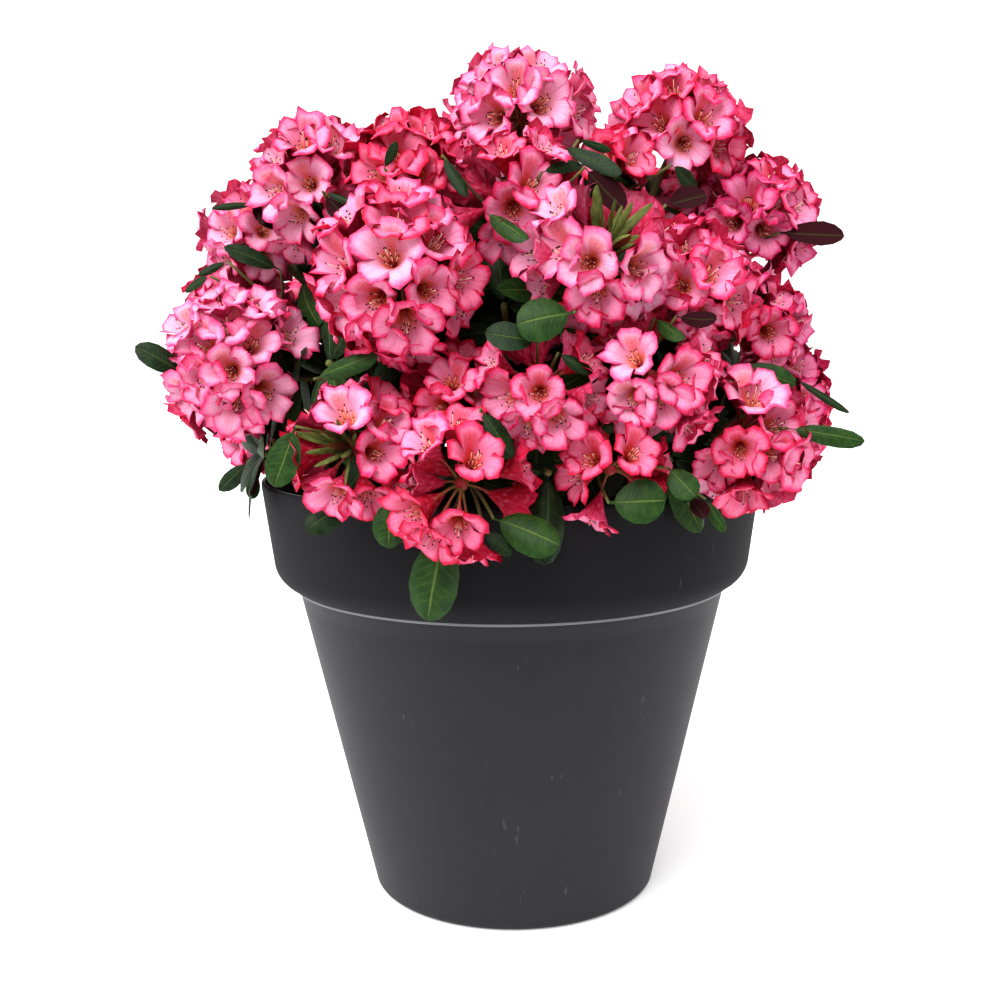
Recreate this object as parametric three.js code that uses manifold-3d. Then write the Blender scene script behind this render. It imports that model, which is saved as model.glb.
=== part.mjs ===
// A rhododendron in full flower in a round plastic pot with a deep collar.
// Millimetres, +Z up. The origin is the middle of the pot's flat underside.
// Bearings are degrees seen from above, from the front (-Y) round to the right (+X).
//
// The crown is a dome of flower heads. Each bough carries one mass: a stem that forks into twigs,
// and on each twig a whorl of leaves under one head of funnel flowers.

import * as THREE from "three";
import { mergeVertices } from "three/addons/utils/BufferGeometryUtils.js";
import Module from "manifold-3d";

const wasm = await Module();
wasm.setup();

// ---- Driving sizes ---------------------------------------------------------------------------

const GAP = 0.3; // between solids that meet
const FULL_TURN = 2 * Math.PI;
const HEART_HEIGHT = 384; // the point that the flower heads face away from, on the pot's axis

const POT = {
  height: 340,
  rimRadius: 200,
  collarFoot: 281, // height at which the collar's wall starts to turn in
  collarFootRadius: 191,
  collarUnder: 253, // height at which the collar meets the body
  shoulderRadius: 174,
  footRadius: 115,
  footRound: 6,
  wall: 4,
  lipRound: 2,
  sides: 36,
};

const SOIL = {
  top: 300,
  sides: 24,
  flats: 0.6, // keeps the flats of a coarser round inside the wall
  lift: 1, // keeps it off the wall's slopes
};

const TRUNK = {
  top: 402,
  flareRadius: 27,
  flareHeight: 24,
  neckRadius: 19, // a third of the way up the flare
  radius: 16,
  tipRadius: 11,
  tipRound: 6,
  sides: 10,
  lean: 0.05,
};

const BOUGH = { baseRadius: 6.5, tipRadius: 4.5, sides: 6, steps: 4, forkShare: 0.48, sweep: 0.25 };
const STEM = { length: 12, radius: 4.5, sides: 5, twigsLeave: 0.7 };
const TWIG = { radius: 4, tipRadius: 3, sides: 3, steps: 3, rise: 0.5 };

// A head's flowers stand on the faces of a small twenty-sided heart, within spread degrees of its axis.
const HEAD = { heartRadius: 6, spread: 107, upward: 0.15, cellGap: 0.4, openHeart: 36 };
const FLOWER = { lobes: 5, mouthShare: 0.365, mouthAt: 0.95, throatAt: 0.74, leastScale: 0.5 };

// Whorls of leaves on each twig. at is the share of the way up the twig. lifts are angles outwards
// from square to the twig, in degrees, and sizes are shares of the length: a leaf tries them in turn
// for room.
const LEAF = { widthShare: 0.43, thickness: 2, sway: 0.12, sizes: [1, 0.84, 0.7] };
const FLOWERING_WHORLS = [
  { count: 6, length: 79, at: 2 / TWIG.steps, lifts: [4, -12, 20, 34] },
  { count: 3, length: 76, at: 1 / TWIG.steps, lifts: [4, 26, 46] },
];
const LEAFY_WHORLS = [{ count: 7, length: 73, at: 0.97, lifts: [26, 44, 10] }];

// ---- The crown: one entry for each bough, one row for each twig ------------------------------------
// leaves is the height at which the bough leaves the trunk. lift is above the pot's rim, reach is
// out from the pot's axis, size is the radius of the twig's head, and turn is where its first leaf
// points. An open head shows its heart, and a leafy twig has no flowers.

const FRONT_BOUGHS = [
  {
    name: "left",
    leaves: 332,
    heads: [
      { bearing: -63, lift: 92, reach: 220, size: 62, turn: 40 },
      { bearing: -79, lift: 186, reach: 196, size: 46, turn: 15 },
      { bearing: -55, lift: 218, reach: 166, size: 54, turn: 65 },
      { bearing: -68, lift: 26, reach: 204, size: 28, turn: 30, leafy: true },
      { bearing: -70, lift: 146, reach: 206, size: 22, turn: 0, leafy: true },
    ],
  },
  {
    name: "front_left",
    leaves: 356,
    heads: [
      { bearing: -28, lift: 40, reach: 218, size: 50, turn: 10, open: true },
      { bearing: -20, lift: 150, reach: 206, size: 62, turn: 30, open: true },
      { bearing: -40, lift: 96, reach: 196, size: 26, turn: 15, leafy: true },
    ],
  },
  {
    name: "front",
    leaves: 320,
    heads: [
      { bearing: -8, lift: 20, reach: 228, size: 54, turn: 5, open: true },
      { bearing: 18, lift: 26, reach: 212, size: 46, turn: 25 },
      { bearing: 6, lift: 80, reach: 210, size: 48, turn: 0 },
      { bearing: -11, lift: 72, reach: 190, size: 40, turn: 10 },
      { bearing: -15, lift: 18, reach: 214, size: 20, turn: 0, leafy: true },
      { bearing: 7, lift: 24, reach: 208, size: 20, turn: 24, leafy: true },
    ],
  },
  {
    name: "front_right",
    leaves: 344,
    heads: [
      { bearing: 46, lift: 42, reach: 222, size: 54, turn: 20 },
      { bearing: 25, lift: 86, reach: 218, size: 52, turn: 45 },
      { bearing: 78, lift: 68, reach: 212, size: 42, turn: 10 },
      { bearing: 32, lift: 28, reach: 206, size: 24, turn: 0, leafy: true },
      { bearing: 66, lift: 92, reach: 206, size: 22, turn: 25, leafy: true },
    ],
  },
  {
    name: "front_high",
    leaves: 378,
    heads: [
      { bearing: 17, lift: 162, reach: 202, size: 58, turn: 35, open: true },
      { bearing: 1, lift: 204, reach: 166, size: 48, turn: 20 },
      { bearing: 38, lift: 142, reach: 198, size: 50, turn: 0 },
      { bearing: -1, lift: 134, reach: 176, size: 36, turn: 10, leafy: true },
    ],
  },
  {
    name: "top",
    leaves: 396,
    heads: [
      { bearing: 6, lift: 266, reach: 90, size: 56, turn: 50 },
      { bearing: -29, lift: 220, reach: 144, size: 50, turn: 15 },
      { bearing: -82, lift: 230, reach: 78, size: 52, turn: 14 },
      { bearing: 38, lift: 232, reach: 128, size: 26, turn: 40, leafy: true },
      { bearing: 100, lift: 208, reach: 62, size: 40, turn: 20, leafy: true },
    ],
  },
  {
    name: "right",
    leaves: 366,
    heads: [
      { bearing: 72, lift: 258, reach: 136, size: 56, turn: 55 },
      { bearing: 77, lift: 196, reach: 190, size: 52, turn: 30 },
      { bearing: 61, lift: 116, reach: 208, size: 38, turn: 5 },
      { bearing: 80, lift: 150, reach: 178, size: 22, turn: 10, leafy: true },
    ],
  },
];

// The far side repeats one pattern round the pot: a low, a middle and a high head to each bough, and
// a leafy twig. step is the bearing from one bough to the next.
const REAR = { middle: 180, count: 5, jitter: 9, turn: 50, leaves: [324, 350, 330, 362, 384] };
const REAR_ROWS = [
  { step: 37, stagger: -6, lift: 38, reach: 216, size: 58 },
  { step: 37.5, stagger: 12, lift: 122, reach: 212, size: 58 },
  { step: 39, stagger: -6, lift: 206, reach: 160, size: 58 },
  { step: 37, stagger: 13, lift: 60, reach: 206, size: 24, leafy: true },
];
const REAR_TOP = { bough: 2, bearing: 174, lift: 262, reach: 62, size: 56, turn: 20 };

// ---- Small helpers -------------------------------------------------------------------------------

const radians = (degrees) => THREE.MathUtils.degToRad(degrees);
const vector = (x, y, z) => new THREE.Vector3(x, y, z);
const HEART = vector(0, 0, HEART_HEIGHT);

// A fixed number from 0 to 1 for each pair of whole numbers, so that every build is alike.
function chance(a, b) {
  const wave = Math.sin(a * 12.9898 + b * 78.233 + 4.1) * 43758.5453;
  return wave - Math.floor(wave);
}

const either = (a, b, most) => (2 * chance(a, b) - 1) * most;

function polar(bearing, reach, height) {
  const angle = radians(bearing);
  return vector(reach * Math.sin(angle), -reach * Math.cos(angle), height);
}

// Two directions square to an axis, the first as near upright as it can be.
function squareTo(axis) {
  const upright = Math.abs(axis.z) > 0.95 ? vector(0, 1, 0) : vector(0, 0, 1);
  const first = upright.addScaledVector(axis, -upright.dot(axis)).normalize();
  return [first, axis.clone().cross(first)];
}

// A direction that leans from an axis by a polar angle, turned round it by a second angle.
function leaning(axis, polarAngle, turn) {
  const [first, second] = squareTo(axis);
  return axis
    .clone()
    .multiplyScalar(Math.cos(polarAngle))
    .addScaledVector(first, Math.sin(polarAngle) * Math.cos(turn))
    .addScaledVector(second, Math.sin(polarAngle) * Math.sin(turn));
}

function solidOf(geometry) {
  geometry.deleteAttribute("normal");
  geometry.deleteAttribute("uv");
  const merged = mergeVertices(geometry, 1e-4);
  const mesh = new wasm.Mesh({
    numProp: 3,
    vertProperties: merged.attributes.position.array,
    triVerts: new Uint32Array(merged.index.array),
  });
  return new wasm.Manifold(mesh);
}

function geometryOf(solid) {
  const mesh = solid.getMesh();
  const geometry = new THREE.BufferGeometry();
  geometry.setAttribute("position", new THREE.BufferAttribute(mesh.vertProperties, 3));
  geometry.setIndex(new THREE.BufferAttribute(mesh.triVerts, 1));
  return geometry;
}

const joined = (solids) => solids.reduce((whole, solid) => whole.add(solid));
const touches = (solid, other) => !solid.intersect(other).isEmpty();

// A tapering round or three-sided limb: a cylinder's rings carried along a curve.
function limb(curve, baseRadius, tipRadius, sides, steps) {
  const geometry = new THREE.CylinderGeometry(1, 1, 1, sides, steps);
  const places = geometry.attributes.position;
  for (let i = 0; i < places.count; i++) {
    const along = places.getY(i) + 0.5;
    const tangent = curve.getTangent(along);
    const [first, second] = squareTo(tangent);
    const radius = THREE.MathUtils.lerp(baseRadius, tipRadius, along);
    const place = curve
      .getPoint(along)
      .addScaledVector(first, radius * places.getZ(i))
      .addScaledVector(second, radius * places.getX(i));
    places.setXYZ(i, place.x, place.y, place.z);
  }
  return solidOf(geometry);
}

// ---- Pot and soil --------------------------------------------------------------------------------

// A quarter turn of an ellipse between two profile points, leaving the first one upright or level.
function quarter(from, to, uprightFirst, steps) {
  return Array.from({ length: steps + 1 }, (_, i) => {
    const angle = (Math.PI / 2) * (i / steps);
    const across = uprightFirst ? 1 - Math.cos(angle) : Math.sin(angle);
    const up = uprightFirst ? Math.sin(angle) : 1 - Math.cos(angle);
    return new THREE.Vector2(
      THREE.MathUtils.lerp(from[0], to[0], across),
      THREE.MathUtils.lerp(from[1], to[1], up),
    );
  });
}

// The pot's wall outline, from the underside up the outside, over the lip and down the inside.
function potProfile() {
  const { height, rimRadius, wall, footRadius, footRound, shoulderRadius, lipRound } = POT;
  const bodySlope = (shoulderRadius - footRadius) / POT.collarUnder;
  const outside = [
    new THREE.Vector2(0, 0),
    ...quarter([footRadius - footRound, 0], [footRadius + footRound * bodySlope, footRound], false, 2),
    ...quarter([shoulderRadius, POT.collarUnder], [POT.collarFootRadius, POT.collarFoot], false, 3),
    new THREE.Vector2(rimRadius, height - lipRound),
    new THREE.Vector2(rimRadius - lipRound, height),
  ];
  const inside = [
    new THREE.Vector2(rimRadius - wall + lipRound / 2, height),
    new THREE.Vector2(rimRadius - wall, height - lipRound),
    new THREE.Vector2(POT.collarFootRadius - wall, POT.collarFoot),
    new THREE.Vector2(shoulderRadius - wall, POT.collarUnder),
    new THREE.Vector2(footRadius - wall, wall),
    new THREE.Vector2(0, wall),
  ];
  return [...outside, ...inside];
}

function latheSolid(profile, sides) {
  const geometry = new THREE.LatheGeometry(profile, sides);
  geometry.rotateX(Math.PI / 2);
  return solidOf(geometry);
}

// The compost fills the pot up to its top face, a gap clear of the wall.
function soilProfile() {
  const { wall, footRadius, shoulderRadius } = POT;
  const inner = wall + GAP + SOIL.flats;
  const collarShare = (SOIL.top - POT.collarFoot) / (POT.height - POT.collarFoot);
  const topRadius = THREE.MathUtils.lerp(POT.collarFootRadius, POT.rimRadius, collarShare);
  return [
    new THREE.Vector2(0, wall + GAP),
    new THREE.Vector2(footRadius - inner, wall + GAP),
    new THREE.Vector2(shoulderRadius - inner, POT.collarUnder + SOIL.lift),
    new THREE.Vector2(POT.collarFootRadius - inner, POT.collarFoot + SOIL.lift),
    new THREE.Vector2(topRadius - inner, SOIL.top),
    new THREE.Vector2(0, SOIL.top),
  ];
}

// ---- Trunk and boughs ----------------------------------------------------------------------------

// The trunk flares into the soil and leans a little towards the front. extra fattens it into a cutter.
function trunkSolid(extra) {
  const foot = SOIL.top + GAP - extra;
  const profile = [
    new THREE.Vector2(0, foot),
    new THREE.Vector2(TRUNK.flareRadius + extra, foot),
    new THREE.Vector2(TRUNK.neckRadius + extra, foot + TRUNK.flareHeight / 3),
    new THREE.Vector2(TRUNK.radius + extra, foot + TRUNK.flareHeight),
    new THREE.Vector2(TRUNK.tipRadius + extra, TRUNK.top - TRUNK.tipRound + extra),
    new THREE.Vector2(TRUNK.tipRadius / 2 + extra, TRUNK.top + extra),
    new THREE.Vector2(0, TRUNK.top + extra),
  ];
  const geometry = new THREE.LatheGeometry(profile, TRUNK.sides);
  geometry.rotateX(Math.PI / 2);
  const lean = new THREE.Matrix4().makeShear(0, 0, 0, 0, 0, -TRUNK.lean);
  geometry.applyMatrix4(lean);
  geometry.translate(0, TRUNK.lean * SOIL.top, 0); // the foot stays on the pot's axis
  return solidOf(geometry);
}

const trunkAxisAt = (height) => vector(0, -TRUNK.lean * (height - SOIL.top), height);

function rearBearing(k, { step, stagger }) {
  return REAR.middle + (k - (REAR.count - 1) / 2) * step + stagger;
}

// Every bough and flower head of the crown.
function crownPlan() {
  const rear = Array.from({ length: REAR.count }, (_, k) => ({
    name: `rear_${k + 1}`,
    leaves: REAR.leaves[k],
    heads: REAR_ROWS.map((row, i) => ({
      ...row,
      bearing: rearBearing(k, row) + either(k, i, REAR.jitter / 3),
      lift: row.lift + either(k, i + 10, REAR.jitter),
      reach: row.reach + either(k, i + 20, REAR.jitter / 2),
      turn: chance(k, i + 30) * REAR.turn,
    })),
  }));
  rear[REAR_TOP.bough].heads.push(REAR_TOP);
  return [...FRONT_BOUGHS, ...rear].map(growBough);
}

// A bough's own curve, the stem of its mass, and each head with its centre, axis and twig.
function growBough({ name, leaves, heads: rows }, mass) {
  const heads = rows.map((row, i) => {
    const centre = polar(row.bearing, row.reach, POT.height + row.lift);
    const axis = centre.clone().sub(HEART).normalize().add(vector(0, 0, HEAD.upward)).normalize();
    return { ...row, centre, axis, mass, key: mass * 10 + i };
  });
  const curve = boughCurve(trunkAxisAt(leaves), heads);
  const foot = curve.getPoint(1).addScaledVector(curve.getTangent(1), GAP);
  const fork = foot.clone().addScaledVector(curve.getTangent(1), STEM.length);
  const twigRoot = foot.clone().lerp(fork, STEM.twigsLeave);
  heads.forEach((head) => Object.assign(head, { twig: twigCurve(twigRoot, head) }));
  return { name, heads, curve, stem: new THREE.LineCurve3(foot, fork) };
}

// A bough rises from the trunk in one curve to the point where its mass forks.
function boughCurve(base, heads) {
  const middle = vector(0, 0, 0);
  heads.forEach((head) => middle.addScaledVector(head.centre, 1 / heads.length));
  const tip = HEART.clone().lerp(middle, BOUGH.forkShare);
  const knee = base.clone().lerp(tip, 0.5);
  knee.z = THREE.MathUtils.lerp(base.z, tip.z, BOUGH.sweep);
  return new THREE.QuadraticBezierCurve3(base, knee, tip);
}

// The twig leaves the fork sideways and comes up through the whorl along the head's own axis.
function twigCurve(root, head) {
  const knee = head.centre.clone().addScaledVector(head.axis, -TWIG.rise * root.distanceTo(head.centre));
  return new THREE.QuadraticBezierCurve3(root, knee, head.centre);
}

// ---- Flower heads and leaves -----------------------------------------------------------------------

// The planes half way to the other heads: points with along . offset above reach belong to the other.
function cellOf(head, heads) {
  return heads
    .filter((other) => other !== head)
    .map((other) => {
      const along = other.centre.clone().sub(head.centre);
      const share = head.size / (head.size + other.size);
      const reach = along.length() * share - HEAD.cellGap;
      return { along: along.normalize(), reach, mass: other.mass };
    });
}

const staysInside = (places, head, cell) =>
  places.every((place) =>
    cell.every(
      ({ along, reach, mass }) => mass === head.mass || along.dot(place.clone().sub(head.centre)) <= reach,
    ),
  );

// The faces of a head's heart, each as three corners about the head's centre.
function heartFaces(head) {
  const geometry = new THREE.IcosahedronGeometry(HEAD.heartRadius).rotateZ(radians(head.turn));
  const [first, second] = squareTo(head.axis);
  geometry.applyMatrix4(new THREE.Matrix4().makeBasis(first, second, head.axis));
  const places = geometry.attributes.position;
  const corner = (i) => vector().fromBufferAttribute(places, i);
  return Array.from({ length: places.count / 3 }, (_, i) => [0, 1, 2].map((k) => corner(3 * i + k)));
}

// One funnel flower on a face of the heart: a three-sided stalk that opens to five lobes, with the
// throat sunk behind the mouth. It shrinks towards the head's centre until it keeps to its cell.
function flowerSolid(head, face, direction, cell) {
  const first = face[0].clone().addScaledVector(direction, -face[0].dot(direction)).normalize();
  const second = direction.clone().cross(first);
  const mouthRadius = FLOWER.mouthShare * head.size;
  const mouth = Array.from({ length: FLOWER.lobes }, (_, i) => {
    const angle = (i * FULL_TURN) / FLOWER.lobes;
    return direction
      .clone()
      .multiplyScalar(FLOWER.mouthAt * head.size)
      .addScaledVector(first, mouthRadius * Math.cos(angle))
      .addScaledVector(second, mouthRadius * Math.sin(angle));
  });
  const shares = cell.flatMap(({ along, reach }) => mouth.map((v) => fitShare(along.dot(v), reach)));
  const scale = Math.min(1, ...shares);
  if (scale < FLOWER.leastScale) {
    return null;
  }
  const throat = direction.clone().multiplyScalar(FLOWER.throatAt * head.size * scale);
  const places = [...face, ...mouth.map((v) => v.multiplyScalar(scale)), throat];
  const [a, b, c, m0, m1, m2, m3, m4, deep] = places.keys();
  const faces = [
    [a, c, b],
    [a, b, m1], [a, m1, m0],
    [b, m2, m1], [b, c, m3], [b, m3, m2],
    [c, m4, m3], [c, a, m0], [c, m0, m4],
    [m0, m1, deep], [m1, m2, deep], [m2, m3, deep], [m3, m4, deep], [m4, m0, deep],
  ];
  const standing = places.map((v) => v.clone().add(head.centre));
  const geometry = new THREE.BufferGeometry().setFromPoints(standing);
  geometry.setIndex(faces.flat());
  return solidOf(geometry);
}

const fitShare = (along, reach) => (along > reach ? reach / along : 1);

// A leaf from its base on the twig to its tip: a flat face over a keeled underside.
function leafSolid(base, direction, face, length) {
  const half = length / 2;
  const side = direction.clone().cross(face).multiplyScalar(half * LEAF.widthShare);
  const middle = base.clone().addScaledVector(direction, half);
  const corners = [
    middle.clone().addScaledVector(direction, -half),
    middle.clone().add(side),
    middle.clone().addScaledVector(direction, half),
    middle.clone().sub(side),
    middle.clone().addScaledVector(face, -LEAF.thickness),
  ];
  const geometry = new THREE.BufferGeometry().setFromPoints(corners);
  const [root, right, tip, left, keel] = corners.keys();
  const faces = [
    [root, right, tip], [root, tip, left],
    [root, keel, right], [right, keel, tip], [tip, keel, left], [left, keel, root],
  ];
  geometry.setIndex(faces.flat());
  return { solid: solidOf(geometry), corners };
}

// A whorl of leaves on the twig, spread evenly round it and facing the way the head does. Each leaf
// takes the first size and lift at which it has room, or is left out.
function whorlSolids(head, { count, length, at, lifts }, row, hasRoom) {
  const base = head.twig.getPoint(at);
  const leaves = Array.from({ length: count }, (_, i) => {
    const seed = i + 20 * row;
    const spoke = radians(head.turn) + ((i + row / 2) * FULL_TURN) / count;
    const turn = spoke + either(head.key, seed, LEAF.sway);
    const full = length * (1 + either(head.key, seed + 100, LEAF.sway));
    const tries = LEAF.sizes.flatMap((size) =>
      lifts.map((lift) => {
        const direction = leaning(head.axis, Math.PI / 2 - radians(lift), turn);
        const face = head.axis.clone().addScaledVector(direction, -head.axis.dot(direction)).normalize();
        return leafSolid(base, direction, face, full * size);
      }),
    );
    return tries.find(hasRoom);
  });
  return leaves.filter(Boolean).map(({ solid }) => solid);
}

// A mass's own limbs: its stem, a gap beyond the bough's tip, and a twig to each head.
function massLimbs({ stem, heads }) {
  const { radius, tipRadius, sides, steps } = TWIG;
  const twigs = heads.map(({ twig }) => limb(twig, radius, tipRadius, sides, steps));
  return [limb(stem, STEM.radius, STEM.radius, STEM.sides, 1), ...twigs];
}

// The flowers of one head on its heart. An open head has none near its axis.
function flowerSolids(head, allHeads, isClear) {
  const cell = cellOf(head, allHeads);
  const faces = heartFaces(head);
  const corners = faces.flat().map((v) => v.clone().add(head.centre));
  const heart = new THREE.BufferGeometry().setFromPoints(corners);
  const nearest = Math.cos(radians(head.open ? HEAD.openHeart : 0));
  const furthest = Math.cos(radians(HEAD.spread));
  const flowers = faces.map((face) => {
    const direction = face[0].clone().add(face[1]).add(face[2]).normalize();
    const lean = direction.dot(head.axis);
    return lean > nearest || lean < furthest ? null : flowerSolid(head, face, direction, cell);
  });
  return [solidOf(heart), ...flowers.filter((solid) => solid && isClear(solid))];
}

// One mass: its limbs, then its flowers, then the leaves that find room among them. What would touch
// another node is left out.
function massSolid({ heads }, ownLimbs, allHeads, obstacles) {
  const isClear = (solid) => !obstacles.some((other) => touches(solid, other));
  const inFlower = heads.filter(({ leafy }) => !leafy);
  const flowers = inFlower.flatMap((head) => flowerSolids(head, allHeads, isClear));
  const leaves = [];
  heads.forEach((head, i) => {
    const cell = cellOf(head, allHeads);
    const otherLimbs = ownLimbs.filter((_, k) => k !== i + 1); // the stem comes first, then the twigs
    const isFree = (solid) => {
      const neighbours = [...otherLimbs, ...flowers, ...leaves];
      return !neighbours.some((other) => touches(solid, other));
    };
    const hasRoom = ({ solid, corners }) =>
      staysInside(corners, head, cell) && isFree(solid) && isClear(solid);
    const whorls = head.leafy ? LEAFY_WHORLS : FLOWERING_WHORLS;
    whorls.forEach((whorl, row) => leaves.push(...whorlSolids(head, whorl, row, hasRoom)));
  });
  return joined([...ownLimbs, ...flowers, ...leaves]);
}

// ---- Assembly ------------------------------------------------------------------------------------

const FINISHES = {
  plastic: { color: 0x3c3c40, roughness: 0.55, metalness: 0 },
  compost: { color: 0x2a1d14, roughness: 1, metalness: 0 },
  bark: { color: 0x5b4634, roughness: 0.9, metalness: 0 },
  blossom: { color: 0xe8547f, roughness: 0.6, metalness: 0 },
};

const plant = new THREE.Group();

function addNode(name, solid, finish) {
  const mesh = new THREE.Mesh(geometryOf(solid), new THREE.MeshStandardMaterial(finish));
  mesh.name = name;
  plant.add(mesh);
}

const pot = latheSolid(potProfile(), POT.sides);
const soil = latheSolid(soilProfile(), SOIL.sides);
const trunk = trunkSolid(0);
addNode("pot", pot, FINISHES.plastic);
addNode("potting_soil", soil, FINISHES.compost);
addNode("trunk", trunk, FINISHES.bark);

const crown = crownPlan();
const allHeads = crown.flatMap((bough) => bough.heads);
const trunkCutter = trunkSolid(GAP);
const boughs = crown.map(({ curve }) =>
  limb(curve, BOUGH.baseRadius, BOUGH.tipRadius, BOUGH.sides, BOUGH.steps).subtract(trunkCutter),
);
const limbs = crown.map(massLimbs);

crown.forEach((bough, i) => {
  const obstacles = [pot, soil, trunk, ...boughs, ...limbs.filter((_, j) => j !== i).flat()];
  addNode(`bough_${bough.name}`, boughs[i], FINISHES.bark);
  addNode(`mass_${bough.name}`, massSolid(bough, limbs[i], allHeads, obstacles), FINISHES.blossom);
});

export default plant;
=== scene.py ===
"""A rhododendron in full flower in a round plastic pot: its looks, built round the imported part.

Metres, +Z up, -Y towards the front. The crown is grown by the part's own rule, written again here:
boughs fork into twigs, and each twig carries whorls of leaves under one head of flowers.
"""

import logging
import math
from dataclasses import dataclass
from enum import Enum

import bpy
import numpy as np
from mathutils import Matrix, Vector


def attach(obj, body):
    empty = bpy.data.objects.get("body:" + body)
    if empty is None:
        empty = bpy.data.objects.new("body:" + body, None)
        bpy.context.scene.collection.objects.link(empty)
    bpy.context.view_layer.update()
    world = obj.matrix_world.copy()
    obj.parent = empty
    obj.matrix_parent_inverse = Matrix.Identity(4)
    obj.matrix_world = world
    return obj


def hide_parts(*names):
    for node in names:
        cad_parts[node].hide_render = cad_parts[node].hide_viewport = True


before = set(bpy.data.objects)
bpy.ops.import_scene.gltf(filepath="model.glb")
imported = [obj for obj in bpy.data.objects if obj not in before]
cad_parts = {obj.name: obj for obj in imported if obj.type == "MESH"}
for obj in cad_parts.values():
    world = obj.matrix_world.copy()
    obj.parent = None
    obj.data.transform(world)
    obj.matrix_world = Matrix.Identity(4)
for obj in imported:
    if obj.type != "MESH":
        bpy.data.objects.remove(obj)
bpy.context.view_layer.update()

LOG = logging.getLogger("shrub")
MM = 0.001
FULL_TURN = 2 * math.pi
GOLDEN_ANGLE = math.pi * (3 - math.sqrt(5))
SEED = 11

Array = np.ndarray
Colour = tuple[float, float, float, float]


# ---- Numbers and vectors -------------------------------------------------------------------------


def unit(vectors: Array) -> Array:
    """Vectors of length one along the last axis."""
    return vectors / np.maximum(np.linalg.norm(vectors, axis=-1, keepdims=True), 1e-12)


def dot(first: Array, second: Array) -> Array:
    """The inner product along the last axis, which is kept."""
    return np.sum(first * second, axis=-1, keepdims=True)


def smooth(share: Array) -> Array:
    """A soft step: 3x^2 - 2x^3 with x held from 0 to 1."""
    held = np.clip(share, 0, 1)
    return held * held * (3 - 2 * held)


def chance(first: Array | float, second: Array | float) -> Array:
    """A fixed number from 0 to 1 for each pair: the fraction of a fast, tall sine wave.

    Args:
        first: One number of each pair.
        second: The other number.

    Returns:
        The shares, from 0 to 1.
    """
    wave = np.sin(np.asarray(first) * 12.9898 + np.asarray(second) * 78.233 + 4.1) * 43758.5453
    return wave - np.floor(wave)


def either(first: Array | float, second: Array | float, most: float) -> Array:
    """A fixed number from -most to most for each pair."""
    return (2 * chance(first, second) - 1) * most


def drawn(first: Array | float, second: Array | float, count: int) -> Array:
    """A fixed whole number from 0 to count - 1 for each pair."""
    return np.floor(chance(first, second) * count).astype(int)


def polar(bearing: Array, reach: Array, height: Array) -> Array:
    """Places by bearing in degrees, from the front round to the right, by reach and by height."""
    angle = np.radians(bearing)
    return np.stack([reach * np.sin(angle), -reach * np.cos(angle), height + 0 * angle], axis=-1)


def spokes(count: int) -> Array:
    """Angles that share a full turn evenly."""
    return np.arange(count) / count * FULL_TURN


def round_axis(radius: Array, angle: Array, height: Array) -> Array:
    """Places round the upright axis: (r cos a, r sin a, z)."""
    across = (radius * np.cos(angle), radius * np.sin(angle))
    return np.stack(np.broadcast_arrays(*across, height), axis=-1)


def square_to(axis: Array) -> tuple[Array, Array]:
    """Two directions square to each axis: upright less its part along the axis, then axis x first.

    Args:
        axis: Unit vectors.

    Returns:
        The first directions, as near upright as they can be, and the second ones.
    """
    steep = np.abs(axis[..., 2:3]) > 0.95
    upright = np.where(steep, np.array([0.0, 1.0, 0.0]), np.array([0.0, 0.0, 1.0]))
    first = unit(upright - axis * dot(upright, axis))
    return first, np.cross(axis, first)


def turned_about(axis: Array, turn: Array) -> tuple[Array, Array]:
    """Two directions square to an axis, by turn: first cos t + second sin t, and axis x that."""
    first, second = square_to(axis)
    turned = first * np.cos(turn)[..., None] + second * np.sin(turn)[..., None]
    return turned, np.cross(axis, turned)


def leaning(axis: Array, lean: Array, turn: Array) -> Array:
    """Directions at an angle from an axis: axis cos p + (first cos t + second sin t) sin p."""
    turned, _ = turned_about(axis, turn)
    return axis * np.cos(lean)[..., None] + turned * np.sin(lean)[..., None]


def bend(start: Array, knee: Array, end: Array, steps: int) -> Array:
    """Points on curves with one knee: (1-t)^2 start + 2t(1-t) knee + t^2 end.

    Args:
        start: First points, (N, 3).
        knee: Points that the curves lean towards.
        end: Last points.
        steps: Number of points less one.

    Returns:
        Points, (N, steps + 1, 3).
    """
    t = np.linspace(0, 1, steps + 1)[None, :, None]
    return start[:, None] * (1 - t) ** 2 + knee[:, None] * 2 * t * (1 - t) + end[:, None] * t**2


def set_out(shapes: Array, frames: Array, base: Array) -> Array:
    """Shapes carried into frames: base + x first + y second + z third.

    Args:
        shapes: Each shape's points, (N, points, 3).
        frames: Each one's first, second and third direction, (N, 3, 3).
        base: Each one's origin, (N, 3).

    Returns:
        The points in place, (N, points, 3).
    """
    return base[:, None] + np.einsum("npi,nij->npj", shapes, frames)


def tinted(red: int, green: int, blue: int) -> Colour:
    """A shader colour for screen values from 0 to 255."""
    shares = [v / 255 for v in (red, green, blue)]
    linear = [v / 12.92 if v <= 0.04045 else ((v + 0.055) / 1.055) ** 2.4 for v in shares]
    return (*linear, 1.0)


# ---- Surfaces ------------------------------------------------------------------------------------


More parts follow.
